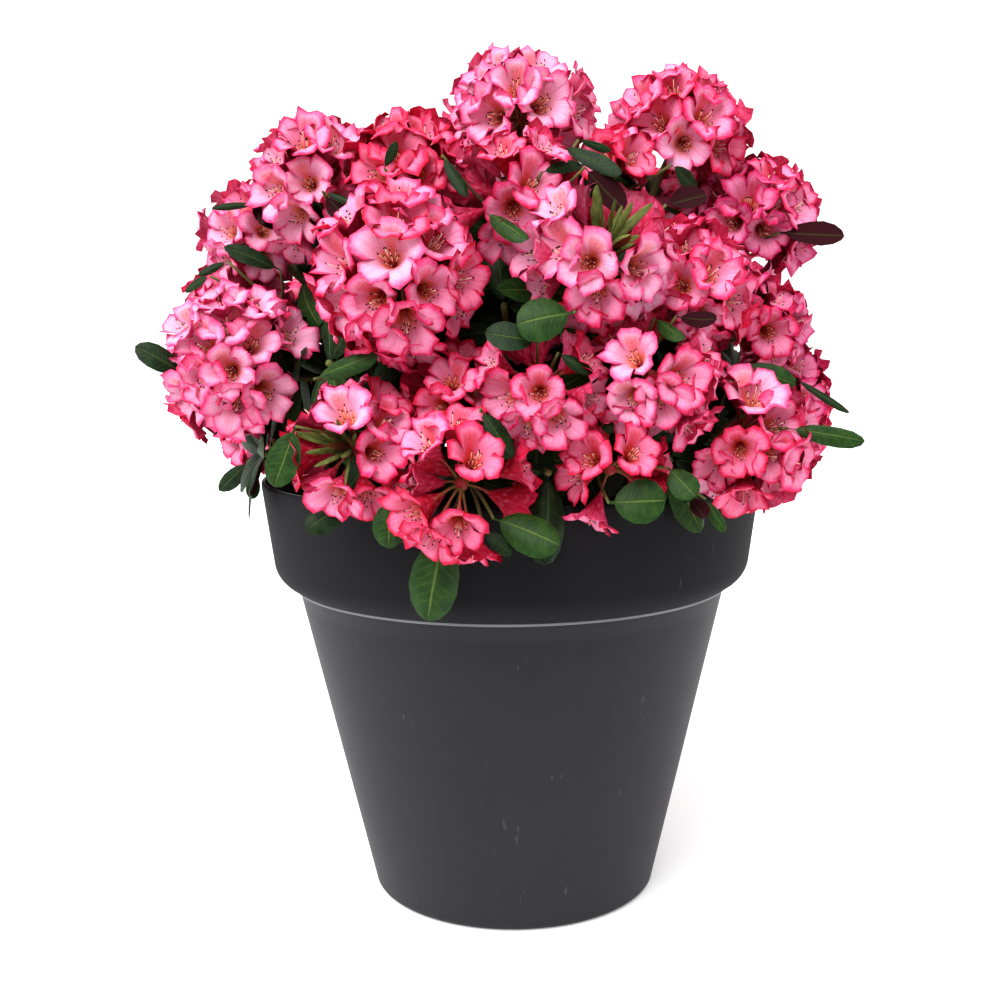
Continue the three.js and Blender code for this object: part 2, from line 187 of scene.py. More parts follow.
@dataclass
class Surface:
    """Points with their faces, and each point's place on the pattern map."""

    points: Array
    faces: list[Array]
    pattern: Array

    @staticmethod
    def grid(points: Array, pattern: Array, closed: bool = False, flip: bool = False) -> "Surface":
        """A sheet over a two-way grid, with one face between each four neighbours.

        Args:
            points: Places, (rows, columns, 3).
            pattern: Places on the pattern map, (rows, columns, 2).
            closed: Joins the last column to the first.
            flip: Turns the faces over.

        Returns:
            The sheet.
        """
        rows, columns = points.shape[:2]
        numbers = np.arange(rows * columns).reshape(rows, columns)
        across = np.concatenate([numbers, numbers[:, :1]], axis=1) if closed else numbers
        corners = [across[:-1, :-1], across[:-1, 1:], across[1:, 1:], across[1:, :-1]]
        faces = np.stack(corners[:1] + corners[:0:-1] if flip else corners, axis=-1).reshape(-1, 4)
        return Surface(points.reshape(-1, 3), [faces], pattern.reshape(-1, 2))

    @staticmethod
    def capped(rings: Array) -> "Surface":
        """A closed body over rings of points, (rings, sides, 3), with one face over each end."""
        shape = Surface.grid(rings, np.zeros((*rings.shape[:2], 2)), closed=True)
        loop = np.arange(rings.shape[1])
        shape.faces += [loop[::-1][None], (loop + (len(rings) - 1) * len(loop))[None]]
        return shape

    @staticmethod
    def joined(parts: "list[Surface]") -> "Surface":
        """Several surfaces as one."""
        starts = np.cumsum([0] + [len(part.points) for part in parts])
        faces = [face + start for part, start in zip(parts, starts) for face in part.faces]
        points = np.concatenate([part.points for part in parts])
        return Surface(points, faces, np.concatenate([part.pattern for part in parts]))

    def repeated(self, places: Array) -> "Surface":
        """This surface's faces over many sets of points.

        Args:
            places: Each copy's points, (N, number of points, 3).

        Returns:
            All the copies as one surface.
        """
        count, size = places.shape[:2]
        starts = (np.arange(count) * size)[:, None, None]
        faces = [(face[None] + starts).reshape(-1, face.shape[1]) for face in self.faces]
        return Surface(places.reshape(-1, 3), faces, np.tile(self.pattern, (count, 1)))

    def piece(
        self, name: str, slot: str, material: bpy.types.Material, mapped: bool = True
    ) -> bpy.types.Object:
        """Makes the mesh object, rides it on the plant and logs it.

        Args:
            name: The piece's name.
            slot: Not used.
            material: Its material.
            mapped: Keeps the pattern map with the mesh.

        Returns:
            The new object.
        """
        sizes = np.concatenate([np.full(len(face), face.shape[1]) for face in self.faces])
        corners = np.concatenate([face.ravel() for face in self.faces])
        mesh = bpy.data.meshes.new(name)
        mesh.vertices.add(len(self.points))
        mesh.vertices.foreach_set("co", self.points.astype(np.float32).ravel())
        mesh.loops.add(len(corners))
        mesh.loops.foreach_set("vertex_index", corners.astype(np.int32))
        mesh.polygons.add(len(sizes))
        mesh.polygons.foreach_set("loop_start", (np.cumsum(sizes) - sizes).astype(np.int32))
        mesh.polygons.foreach_set("use_smooth", np.ones(len(sizes), bool))
        if mapped:
            layer = mesh.uv_layers.new(name="OFBake")
            layer.uv.foreach_set("vector", self.pattern[corners].astype(np.float32).ravel())
        mesh.update(calc_edges=True)
        mesh.validate()
        mesh.materials.append(material)
        piece = bpy.data.objects.new(name, mesh)
        bpy.context.scene.collection.objects.link(piece)
        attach(piece, "root")
        LOG.info("%s: %d triangles", name, int(np.sum(sizes - 2)))
        return piece


def tubes(paths: Array, radii: Array, sides: int) -> Surface:
    """Round limbs carried along paths, with a point closing each end.

    Each ring is centre + radius (first cos a + second sin a), where first is one fixed direction of
    the path less its part along the path's own direction.

    Args:
        paths: Centre lines, (N, rings, 3).
        radii: Radius at each ring, (N, rings).
        sides: Corners of a ring.

    Returns:
        All the limbs as one surface.
    """
    rings = paths.shape[1]
    tangent = unit(np.gradient(paths, axis=1))
    chord = unit(paths[:, -1] - paths[:, 0])
    guide, _ = square_to(chord)
    first = unit(guide[:, None] - tangent * dot(guide[:, None], tangent))
    second = np.cross(tangent, first)
    angle = spokes(sides)
    ring = first[:, :, None] * np.cos(angle)[:, None] + second[:, :, None] * np.sin(angle)[:, None]
    walls = paths[:, :, None] + ring * radii[:, :, None, None]
    ends = np.stack([paths[:, 0], paths[:, -1]], axis=1)
    places = np.concatenate([walls.reshape(len(paths), -1, 3), ends], axis=1)
    along = np.repeat(np.linspace(0.01, 0.99, rings), sides)
    across = np.tile((np.arange(sides) + 0.5) / sides, rings)
    pattern = np.stack([across, along], axis=-1).reshape(rings, sides, 2)
    shape = Surface.grid(walls[0], pattern, closed=True)
    loop = np.arange(sides)
    after = np.roll(loop, -1)
    foot = np.stack([after, loop, np.full(sides, rings * sides)], axis=-1)
    top = (rings - 1) * sides
    tip = np.stack([loop + top, after + top, np.full(sides, rings * sides + 1)], axis=-1)
    shape.faces += [foot, tip]
    shape.pattern = np.concatenate([shape.pattern, [[0.5, 0.0], [0.5, 1.0]]])
    return shape.repeated(places)


# ---- Shader sums ---------------------------------------------------------------------------------


class Shade:
    """One socket of a material's nodes, for sums written as expressions."""

    def __init__(self, tree: "Tree", socket: bpy.types.NodeSocket) -> None:
        """Wraps an output socket of a tree's node."""
        self.tree = tree
        self.socket = socket

    def _maths(
        self, operation: str, first: "Shade | float", second: "Shade | float" = 0.0
    ) -> "Shade":
        """The result of one Math node."""
        return self.tree.out("ShaderNodeMath", {"operation": operation}, {0: first, 1: second})

    def __add__(self, other: "Shade | float") -> "Shade":
        """This plus other."""
        return self._maths("ADD", self, other)

    def __radd__(self, other: float) -> "Shade":
        """Other plus this."""
        return self._maths("ADD", other, self)

    def __sub__(self, other: "Shade | float") -> "Shade":
        """This less other."""
        return self._maths("SUBTRACT", self, other)

    def __rsub__(self, other: float) -> "Shade":
        """Other less this."""
        return self._maths("SUBTRACT", other, self)

    def __mul__(self, other: "Shade | float") -> "Shade":
        """This times other."""
        return self._maths("MULTIPLY", self, other)

    def __rmul__(self, other: float) -> "Shade":
        """Other times this."""
        return self._maths("MULTIPLY", other, self)

    def __pow__(self, other: float) -> "Shade":
        """This to a power."""
        return self._maths("POWER", self, other)

    def __abs__(self) -> "Shade":
        """This without its sign."""
        return self._maths("ABSOLUTE", self)

    def above(self, limit: float) -> "Shade":
        """One where this is over a limit, and nought elsewhere."""
        return self._maths("GREATER_THAN", self, limit)

    def sine(self) -> "Shade":
        """The sine of this."""
        return self._maths("SINE", self)

    def fraction(self) -> "Shade":
        """What is left over a whole number."""
        return self._maths("FRACT", self)

    def ease(self, low: float, high: float) -> "Shade":
        """A soft step from 0 at low to 1 at high, or down where low is the greater."""
        falling = low > high
        spread = {"From Min": min(low, high), "From Max": max(low, high)}
        spread |= {"To Min": float(falling), "To Max": float(not falling), "Value": self}
        return self.tree.out("ShaderNodeMapRange", {"interpolation_type": "SMOOTHSTEP"}, spread)


class Tree:
    """The nodes of one material, ending in its Principled shader."""

    def __init__(self, name: str) -> None:
        """Starts a material with a bare Principled shader."""
        self.material = bpy.data.materials.new(name)
        self.material.use_nodes = True
        self.nodes = self.material.node_tree.nodes
        self.links = self.material.node_tree.links
        self.shader = self.nodes["Principled BSDF"]

    def node(self, kind: str, settings: dict, inputs: dict) -> bpy.types.Node:
        """Any node, with its settings made before its sockets are filled.

        Args:
            kind: The node's type.
            settings: Its properties; stops gives a ramp's places and colours.
            inputs: A value or a link for each socket, by name or number.

        Returns:
            The node.
        """
        made = self.nodes.new(kind)
        for key, value in settings.items():
            if key == "stops":
                self._fill_ramp(made.color_ramp, value)
            else:
                setattr(made, key, value)
        for key, value in inputs.items():
            self.feed(made.inputs[key], value)
        return made

    def feed(self, socket: bpy.types.NodeSocket, value: "Shade | float | tuple") -> None:
        """Links a socket, or sets its value."""
        if isinstance(value, Shade):
            self.links.new(value.socket, socket)
        else:
            socket.default_value = value

    def out(self, kind: str, settings: dict, inputs: dict, output: str | int = 0) -> Shade:
        """One output of a new node."""
        return Shade(self, self.node(kind, settings, inputs).outputs[output])

    @staticmethod
    def _fill_ramp(ramp: bpy.types.ColorRamp, stops: list[tuple[float, Colour]]) -> None:
        """Sets a ramp's stops, each a place and a colour."""
        while len(ramp.elements) < len(stops):
            ramp.elements.new(0.5)
        for element, (place, colour) in zip(ramp.elements, stops):
            element.position = place
            element.color = colour

    def ramp(self, value: Shade, stops: list[tuple[float, Colour]]) -> Shade:
        """A colour for each value, by stops."""
        return self.out("ShaderNodeValToRGB", {"stops": stops}, {"Fac": value})

    def mix(self, share: Shade | float, first: Shade | Colour, second: Shade | Colour) -> Shade:
        """Two colours mixed by a share."""
        settings = {"data_type": "RGBA", "clamp_factor": True}
        return self.out("ShaderNodeMix", settings, {0: share, 6: first, 7: second}, 2)

    def noise(self, place: Shade, scale: float, detail: float = 2.0, rough: float = 0.5) -> Shade:
        """Soft noise from about 0 to 1."""
        inputs = {"Vector": place, "Scale": scale, "Detail": detail, "Roughness": rough}
        return self.out("ShaderNodeTexNoise", {}, inputs)

    def here(self) -> Shade:
        """Places in the object's own frame, in metres."""
        return self.out("ShaderNodeTexCoord", {}, {}, "Object")

    def stretched(self, place: Shade, scale: tuple, turn: tuple = (0.0, 0.0, 0.0)) -> Shade:
        """Places turned and scaled along each axis."""
        inputs = {"Vector": place, "Scale": scale, "Rotation": turn}
        return self.out("ShaderNodeMapping", {}, inputs)

    def split(self, vector: Shade) -> list[Shade]:
        """A vector's three numbers."""
        parts = self.node("ShaderNodeSeparateXYZ", {}, {0: vector})
        return [Shade(self, output) for output in parts.outputs]

    def pattern_map(self) -> tuple[Shade, Shade, Shade]:
        """The piece's own pattern map: its vector, its across and its along."""
        vector = self.out("ShaderNodeUVMap", {"uv_map": "OFBake"}, {})
        return vector, *self.split(vector)[:2]

    def relief(self, height: Shade, depth: float, strength: float) -> None:
        """Feeds a height through a Bump node to the shader's normal."""
        settings = {"Height": height, "Distance": depth, "Strength": strength}
        self.feed(self.shader.inputs["Normal"], self.out("ShaderNodeBump", {}, settings))

    def finish(
        self, colour: Shade, rough: Shade | float, shine: float = 0.5, glow: float = 0.0
    ) -> bpy.types.Material:
        """Fills the shader's sockets.

        Args:
            colour: The base colour.
            rough: The roughness.
            shine: The specular level.
            glow: The strength of a white glow.

        Returns:
            The material.
        """
        values = {"Base Color": colour, "Roughness": rough, "Specular IOR Level": shine}
        for key, value in (values | {"Emission Strength": glow}).items():
            self.feed(self.shader.inputs[key], value)
        return self.material


# ---- Finishes ------------------------------------------------------------------------------------


class Tint(Enum):
    """The four pinks of the blossom. The pale one is partly painted light, as it goes mostly to
    heads on the lit side, and the mauve one partly painted shade, as it goes mostly to heads on the
    shaded and far side.
    """

    PALE_LIT = "pale"
    ROSE = "rose"
    RED = "red"
    MAUVE_SHADED = "mauve"


class Green(Enum):
    """The greens of the leaves. The deep green is a darkened copy of the fresh one: painted shade
    for leaves that lie in shade inside the crown.
    """

    DEEP_SHADE = "deep"
    FRESH = "fresh"
    YOUNG = "young"


@dataclass(frozen=True)
class PetalFinish:
    """Petals on a map of three tiles side by side: plain lobe, flecked upper lobe, outside."""

    tint: Tint
    throat: Colour
    eye: Colour
    middle: Colour
    blush: Colour
    margin: Colour
    outside: Colour
    ribs: Colour
    flare: Colour

    tiles: int = 3
    cloud_scale: float = 9.0
    patch_scale: float = 30.0
    edge_bow: float = 0.10
    edge_cloud: float = 0.24
    edge_patch: float = 0.10
    # where the eye, throat, throat, middle, middle, blush and margin stand along the lobe
    stops_at: tuple = (0.0, 0.10, 0.24, 0.42, 0.76, 0.92, 1.0)
    vein_waves: float = 17.0
    vein_splay: float = 4.0
    vein_wander: float = 3.0
    vein_share: float = 0.22
    fold_share: float = 0.3
    fleck_scale: tuple = (66.0, 20.0, 1.0)
    fleck_size: tuple = (0.27, 0.17)
    rib_waves: float = 8.0
    relief_depth: float = 0.0006
    shine: float = 0.25

    def material(self) -> bpy.types.Material:
        """Throat to margin by the distance along the lobe, with veins, flecks and ribs over it."""
        tree = Tree(f"petal_{self.tint.value}")
        vector, across_all, along = tree.pattern_map()
        tiles = across_all * float(self.tiles)
        side = (tiles.fraction() - 0.5) * 2.0
        beside = abs(side)
        flecked = tiles.above(1.0) - tiles.above(2.0)
        outer = tiles.above(2.0)
        cloud = tree.noise(vector, self.cloud_scale, 3.0)
        patch = tree.noise(vector, self.patch_scale, 2.0)
        edge = along + beside**4.0 * self.edge_bow + (cloud - 0.5) * self.edge_cloud
        edge = edge + (patch - 0.5) * self.edge_patch
        colours = [self.eye, self.throat, self.throat, self.middle, self.middle]
        stops = list(zip(self.stops_at, colours + [self.blush, self.margin]))
        inner = tree.ramp(edge, stops)
        fan = side * (self.vein_waves - along * self.vein_splay)
        fan = fan + (cloud - 0.5) * self.vein_wander
        veins = abs(fan.sine()).ease(0.86, 1.0) * along.ease(0.20, 0.55)
        inner = tree.mix(veins * self.vein_share, inner, self.blush)
        fold = beside.ease(0.10, 0.0) * along.ease(0.3, 0.5)
        inner = tree.mix(fold * self.fold_share, inner, self.blush)
        spots = {"Vector": tree.stretched(vector, self.fleck_scale), "Scale": 1.0}
        dots = tree.out("ShaderNodeTexVoronoi", {}, spots)
        near = beside.ease(0.85, 0.35) * along.ease(0.12, 0.34) * along.ease(0.86, 0.60)
        inner = tree.mix(near * flecked * 0.6, inner, self.flare)
        inner = tree.mix(dots.ease(*self.fleck_size) * near * flecked * 0.9, inner, self.eye)
        back = tree.mix(along.ease(0.30, 0.8), self.ribs, self.outside)
        ribs = abs((side * self.rib_waves).sine()).ease(0.6, 1.0)
        back = tree.mix(ribs * 0.45, back, self.ribs)
        back = tree.mix(edge.ease(0.88, 1.0) * 0.7, back, self.margin)
        back = tree.mix(cloud.ease(0.45, 0.75) * 0.4, back, self.middle)
        colour = tree.mix(outer, inner, back)
        tree.relief(abs(fan.sine()) * 0.5 + patch * 0.5, self.relief_depth, 0.4)
        return tree.finish(colour, 0.55 + patch * 0.2, self.shine)


@dataclass(frozen=True)
class LeafFinish:
    """Leaves on a map of two tiles: the glossy face, then the felted underside."""

    green: Green
    blade: Colour
    shade: Colour
    rib: Colour
    felt: Colour
    gloss: float
    vein_pairs: float = 11.0
    vein_slant: float = 1.6
    vein_wander: float = 0.8
    vein_share: float = 0.10
    rib_share: float = 0.6
    edge_share: float = 0.25
    felt_shade: float = 0.55
    felt_rough: float = 0.9
    relief_depth: float = 0.0007
    shine: float = 0.25

    def material(self) -> bpy.types.Material:
        """A pale midrib, faint side veins in a herringbone, and mottled green between them."""
        tree = Tree(f"leaf_{self.green.value}")
        vector, across_all, along = tree.pattern_map()
        under = across_all.above(0.5)
        side = ((across_all * 2.0).fraction() - 0.5) * 2.0
        beside = abs(side)
        cloud = tree.noise(vector, 7.0, 3.0)
        grain = tree.noise(vector, 60.0, 2.0)
        face = tree.mix(cloud.ease(0.3, 0.7), self.shade, self.blade)
        slant = along * self.vein_pairs - beside * self.vein_slant
        slant = (slant + (cloud - 0.5) * self.vein_wander) * FULL_TURN
        veins = slant.sine().ease(0.72, 1.0) * beside.ease(0.95, 0.6)
        face = tree.mix(veins * self.vein_share, face, self.rib)
        midrib = beside.ease(0.075, 0.02) * along.ease(1.0, 0.85)
        face = tree.mix(midrib * self.rib_share, face, self.rib)
        face = tree.mix(beside.ease(0.93, 1.0) * self.edge_share, face, self.rib)
        dark_felt = (*(self.felt_shade * v for v in self.felt[:3]), 1.0)
        felt = tree.mix(grain, self.felt, dark_felt)
        felt = tree.mix(beside.ease(0.12, 0.04) * 0.25, felt, self.rib)
        tree.relief(veins * -0.5 - midrib * 1.2 + grain * 0.15, self.relief_depth, 0.6)
        ends = {0: under, 2: self.gloss + cloud * 0.15, 3: self.felt_rough}
        rough = tree.out("ShaderNodeMix", {}, ends)
        return tree.finish(tree.mix(under, face, felt), rough, self.shine)


@dataclass(frozen=True)
class StalkFinish:
    """A slim stalk whose colour runs from foot to tip."""

    name: str
    foot: Colour
    tip: Colour
    rough: float = 0.6
    shine: float = 0.3

    def material(self) -> bpy.types.Material:
        """Foot to tip along the stalk, a little mottled."""
        tree = Tree(self.name)
        vector, _, along = tree.pattern_map()
        mottle = tree.noise(vector, 14.0)
        colour = tree.mix(along + (mottle - 0.5) * 0.5, self.foot, self.tip)
        return tree.finish(colour, self.rough, self.shine)


@dataclass(frozen=True)
class BarkFinish:
    """Thin grey-brown bark that flakes along the limb."""

    name: str
    light: Colour
    dark: Colour
    flake_scale: tuple = (160.0, 160.0, 30.0)
    grain_scale: float = 420.0
    relief_depth: float = 0.0015

    def material(self) -> bpy.types.Material:
        """Long flakes of noise stretched upright, dark in the cracks."""
        tree = Tree(self.name)
        place = tree.here()
        flakes = tree.noise(tree.stretched(place, self.flake_scale), 1.0, 5.0, 0.65)
        grain = tree.noise(place, self.grain_scale, 3.0)
        colour = tree.mix(flakes.ease(0.35, 0.65), self.dark, self.light)
        colour = tree.mix(grain.ease(0.5, 0.75) * 0.4, colour, self.dark)
        tree.relief(flakes * 0.8 + grain * 0.2, self.relief_depth, 0.8)
        return tree.finish(colour, 0.85 + grain * 0.1)


@dataclass(frozen=True)
class CompostFinish:
    """Dark crumbly compost with paler crumbs of bark."""

    peat: Colour = tinted(44, 32, 24)
    damp: Colour = tinted(22, 16, 12)
    crumb: Colour = tinted(92, 66, 44)
    coarse_scale: float = 120.0
    fine_scale: float = 620.0
    rough: float = 0.95
    shine: float = 0.2
    relief_depth: float = 0.003

    def material(self) -> bpy.types.Material:
        """Coarse and fine noise in three browns."""
        tree = Tree("compost")
        place = tree.here()
        coarse = tree.noise(place, self.coarse_scale, 4.0, 0.6)
        fine = tree.noise(place, self.fine_scale, 3.0, 0.6)
        colour = tree.mix(coarse.ease(0.35, 0.65), self.damp, self.peat)
        colour = tree.mix(fine.ease(0.6, 0.75) * 0.7, colour, self.crumb)
        tree.relief(coarse * 0.6 + fine * 0.4, self.relief_depth, 0.9)
        return tree.finish(colour, self.rough, self.shine)


@dataclass(frozen=True)
class PotFinish:
    """Matte anthracite plastic with a fine speckle and a few pale scuffs, with painted shade on the
    collar, a pale dusting inside the rim that is partly painted light, and a painted highlight
    along the bead.
    """

    body: Colour = tinted(38, 38, 43)
    cloudy: Colour = tinted(34, 34, 38)
    # Near-black for painted shade on the collar, where the crown shades it.
    collar: Colour = tinted(8, 8, 10)
    speck: Colour = tinted(58, 59, 64)
    # Pale colour of the painted highlight on the bead.
    painted_highlight: Colour = tinted(168, 168, 170)
    scuff: Colour = tinted(112, 112, 116)
    # A pale dusting colour made paler still as painted light, for the light inside the rim.
    dust_and_light: Colour = tinted(152, 156, 144)
    wall_slope: float = 0.132
    wall_start: float = 0.1537
    dust_and_light_floor: float = 0.27
    collar_from: float = 0.2545
    collar_shade_share: float = 0.55
    cloud_scale: float = 9.0
    speckle_scale: float = 1300.0
    scuff_scale: tuple = (260.0, 260.0, 14.0)
    scuff_turn: tuple = (0.5, 0.35, 0.2)
    scuff_share: float = 0.3
    bead_foot: tuple = (0.2526, 0.2532)
    bead_top: tuple = (0.2552, 0.2546)
    bead_reach: tuple = (0.1735, 0.1742)
    relief_depth: float = 0.0004
    shine: float = 0.32

    def material(self) -> bpy.types.Material:
        """Cloud, specks and scuffs over the body colour, painted shade on the collar, a pale
        dusting with painted light on the inside of the rim, and a painted highlight on the bead.
        """
        tree = Tree("anthracite_plastic")
        place = tree.here()
        x, y, z = tree.split(place)
        cloud = tree.noise(place, self.cloud_scale, 4.0, 0.6)
        speckle = tree.noise(place, self.speckle_scale, 2.0, 0.7)
        colour = tree.mix(cloud.ease(0.3, 0.7), self.cloudy, self.body)
        # Painted shade: the collar is darkened towards near-black for the crown's shade; the same
        # band is also rougher.
        high = z.ease(self.collar_from, self.collar_from + 0.002)
        colour = tree.mix(high * self.collar_shade_share, colour, self.collar)
        colour = tree.mix(speckle.ease(0.60, 0.72) * 0.30, colour, self.speck)
        streaks = tree.stretched(place, self.scuff_scale, self.scuff_turn)
        long = tree.noise(streaks, 1.0, 1.0)
        rare = tree.noise(place, 24.0, 1.0)
        scuffs = long.ease(0.70, 0.74) * rare.ease(0.58, 0.68)
        colour = tree.mix(scuffs * self.scuff_share, colour, self.scuff)
        radius = (x * x + y * y) ** 0.5
        # Partly dusting, partly painted light: the inside wall above the soil is made paler for the
        # light that reaches it.
        inside = (radius - z * self.wall_slope - self.wall_start).ease(0.0005, -0.0005)
        inside = inside * z.ease(self.dust_and_light_floor, self.dust_and_light_floor + 0.01)
        dust_and_painted_light = inside * (0.5 + cloud * 0.5)
        colour = tree.mix(dust_and_painted_light, colour, self.dust_and_light)
        # Painted highlight: a pale line along the bead under the collar, for the light that its
        # edge catches.
        bead = z.ease(*self.bead_foot) * z.ease(*self.bead_top) * radius.ease(*self.bead_reach)
        colour = tree.mix(bead * (0.35 + cloud * 0.5), colour, self.painted_highlight)
        tree.relief(speckle * 0.6 + cloud * 0.4, self.relief_depth, 0.35)
        rough = 0.50 + high * 0.25 + cloud * 0.12 + scuffs * 0.2
        return tree.finish(colour, rough, self.shine)


PETALS = {
    # Pale pink, partly painted light: it goes mostly to heads on the lit side.
    Tint.PALE_LIT: PetalFinish(
        Tint.PALE_LIT,
        throat=tinted(250, 160, 130),
        eye=tinted(196, 40, 50),
        middle=tinted(252, 181, 212),
        blush=tinted(244, 116, 166),
        margin=tinted(228, 48, 108),
        outside=tinted(244, 128, 168),
        ribs=tinted(220, 64, 114),
        flare=tinted(246, 132, 122),
    ),
    Tint.ROSE: PetalFinish(
        Tint.ROSE,
        throat=tinted(246, 138, 112),
        eye=tinted(190, 32, 46),
        middle=tinted(248, 157, 193),
        blush=tinted(234, 74, 132),
        margin=tinted(208, 8, 54),
        outside=tinted(234, 88, 134),
        ribs=tinted(202, 28, 74),
        flare=tinted(236, 86, 92),
    ),
    Tint.RED: PetalFinish(
        Tint.RED,
        throat=tinted(240, 112, 92),
        eye=tinted(170, 20, 36),
        middle=tinted(242, 130, 166),
        blush=tinted(226, 52, 104),
        margin=tinted(200, 4, 36),
        outside=tinted(220, 44, 88),
        ribs=tinted(182, 10, 44),
        flare=tinted(226, 50, 62),
    ),
    # Mauve pink, partly painted shade: it goes mostly to heads on the shaded and far side.
    Tint.MAUVE_SHADED: PetalFinish(
        Tint.MAUVE_SHADED,
        throat=tinted(232, 122, 112),
        eye=tinted(154, 22, 44),
        middle=tinted(234, 138, 176),
        blush=tinted(212, 62, 124),
        margin=tinted(184, 6, 54),
        outside=tinted(208, 58, 108),
        ribs=tinted(168, 16, 62),
        flare=tinted(214, 66, 88),
    ),
}

GREENS = {
    # Deep green: painted shade, a darkened copy of the fresh green for leaves inside the crown.
    Green.DEEP_SHADE: LeafFinish(
        Green.DEEP_SHADE,
        blade=tinted(32, 58, 25),
        shade=tinted(17, 37, 15),
        rib=tinted(88, 106, 54),
        felt=tinted(58, 12, 24),
        gloss=0.44,
    ),
    Green.FRESH: LeafFinish(
        Green.FRESH,
        blade=tinted(48, 80, 30),
        shade=tinted(31, 60, 22),
        rib=tinted(112, 132, 66),
        felt=tinted(62, 14, 26),
        gloss=0.42,
    ),
    Green.YOUNG: LeafFinish(
        Green.YOUNG,
        blade=tinted(126, 138, 74),
        shade=tinted(96, 104, 56),
        rib=tinted(170, 168, 104),
        felt=tinted(150, 112, 72),
        gloss=0.6,
    ),
}


# ---- Pot and soil --------------------------------------------------------------------------------


@dataclass
class PotShell:
    """The round pot: a tapering body under a deep collar with a rolled lip."""

    height: float = 0.340
    rim_radius: float = 0.200
    collar_foot: float = 0.275
    collar_foot_radius: float = 0.1920
    knee: tuple = (0.1912, 0.2662)
    chin: tuple = (0.1846, 0.2602)
    bead_middle: tuple = (0.1752, 0.2538)
    bead_radius: float = 0.0009
    bead_arc: tuple = (-130, 40)
    bead_points: int = 6
    collar_under: float = 0.2525
    shoulder_radius: float = 0.1728
    foot_radius: float = 0.115
    foot_round: float = 0.006
    wall: float = 0.004
    lip: float = 0.0022
    lip_points: int = 9
    axis_gap: float = 0.0001
    sides: int = 160
    name: str = "pot_shell"

    @staticmethod
    def _quarter(start: tuple, end: tuple, upright_first: bool, steps: int) -> Array:
        """A quarter of an ellipse between profile points, leaving the first upright or level."""
        angle = np.linspace(0, math.pi / 2, steps + 1)
        across = 1 - np.cos(angle) if upright_first else np.sin(angle)
        up = np.sin(angle) if upright_first else 1 - np.cos(angle)
        radius = start[0] + (end[0] - start[0]) * across
        return np.stack([radius, start[1] + (end[1] - start[1]) * up], axis=-1)

    @staticmethod
    def _straight(start: tuple, end: tuple, steps: int) -> Array:
        """Evenly spaced profile points from start to end, both left out."""
        share = np.linspace(0, 1, steps + 2)[1:-1, None]
        return np.array(start) * (1 - share) + np.array(end) * share

    def profile(self) -> Array:
        """The outline: out along the underside, up the outside, over the lip, down the inside."""
        slope = (self.shoulder_radius - self.foot_radius) / self.collar_under
        foot_end = (self.foot_radius + self.foot_round * slope, self.foot_round)
        shoulder = (self.shoulder_radius, self.collar_under)
        collar = (self.collar_foot_radius, self.collar_foot)
        arc = np.radians(np.linspace(*self.bead_arc, self.bead_points))[:, None]
        bead = np.array(self.bead_middle) + self.bead_radius * np.hstack([np.cos(arc), np.sin(arc)])
        lip_low = (self.rim_radius, self.height - 2 * self.lip)
        inner = self.rim_radius - self.wall
        rise = np.linspace(0, math.pi, self.lip_points)
        middle = self.rim_radius - self.wall / 2
        lip_x = middle + np.cos(rise) * self.wall / 2
        lip_y = self.height - self.lip + np.sin(rise) * self.lip
        inside_foot = (self.collar_foot_radius - self.wall, self.collar_foot)
        inside_shoulder = (self.shoulder_radius - self.wall, self.collar_under)
        floor = (self.foot_radius - self.wall, self.wall)
        return np.concatenate(
            [
                [(self.axis_gap, 0.0)],
                self._straight((0, 0), (self.foot_radius - self.foot_round, 0), 3),
                self._quarter((self.foot_radius - self.foot_round, 0), foot_end, False, 5),
                self._straight(foot_end, shoulder, 16),
                [shoulder],
                bead,
                self._straight(tuple(bead[-1]), self.chin, 3),
                bend(*(np.array([spot]) for spot in (self.chin, self.knee, collar)), 9)[0],
                self._straight(collar, lip_low, 6),
                [lip_low],
                np.stack([lip_x, lip_y], axis=-1),
                [(inner, self.height - 2 * self.lip)],
                self._straight((inner, self.height - 2 * self.lip), inside_foot, 3),
                [inside_foot, inside_shoulder],
                self._straight(inside_shoulder, floor, 4),
                [floor, (self.axis_gap, self.wall)],
            ]
        )

    def build(self) -> bpy.types.Object:
        """Turns the outline round the axis: (r cos a, r sin a, z)."""
        outline = self.profile()
        shape = Surface.capped(round_axis(outline[:, :1], spokes(self.sides), outline[:, 1:]))
        shell = shape.piece(self.name, "pot_plastic", PotFinish().material(), mapped=False)
        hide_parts("pot")
        return shell


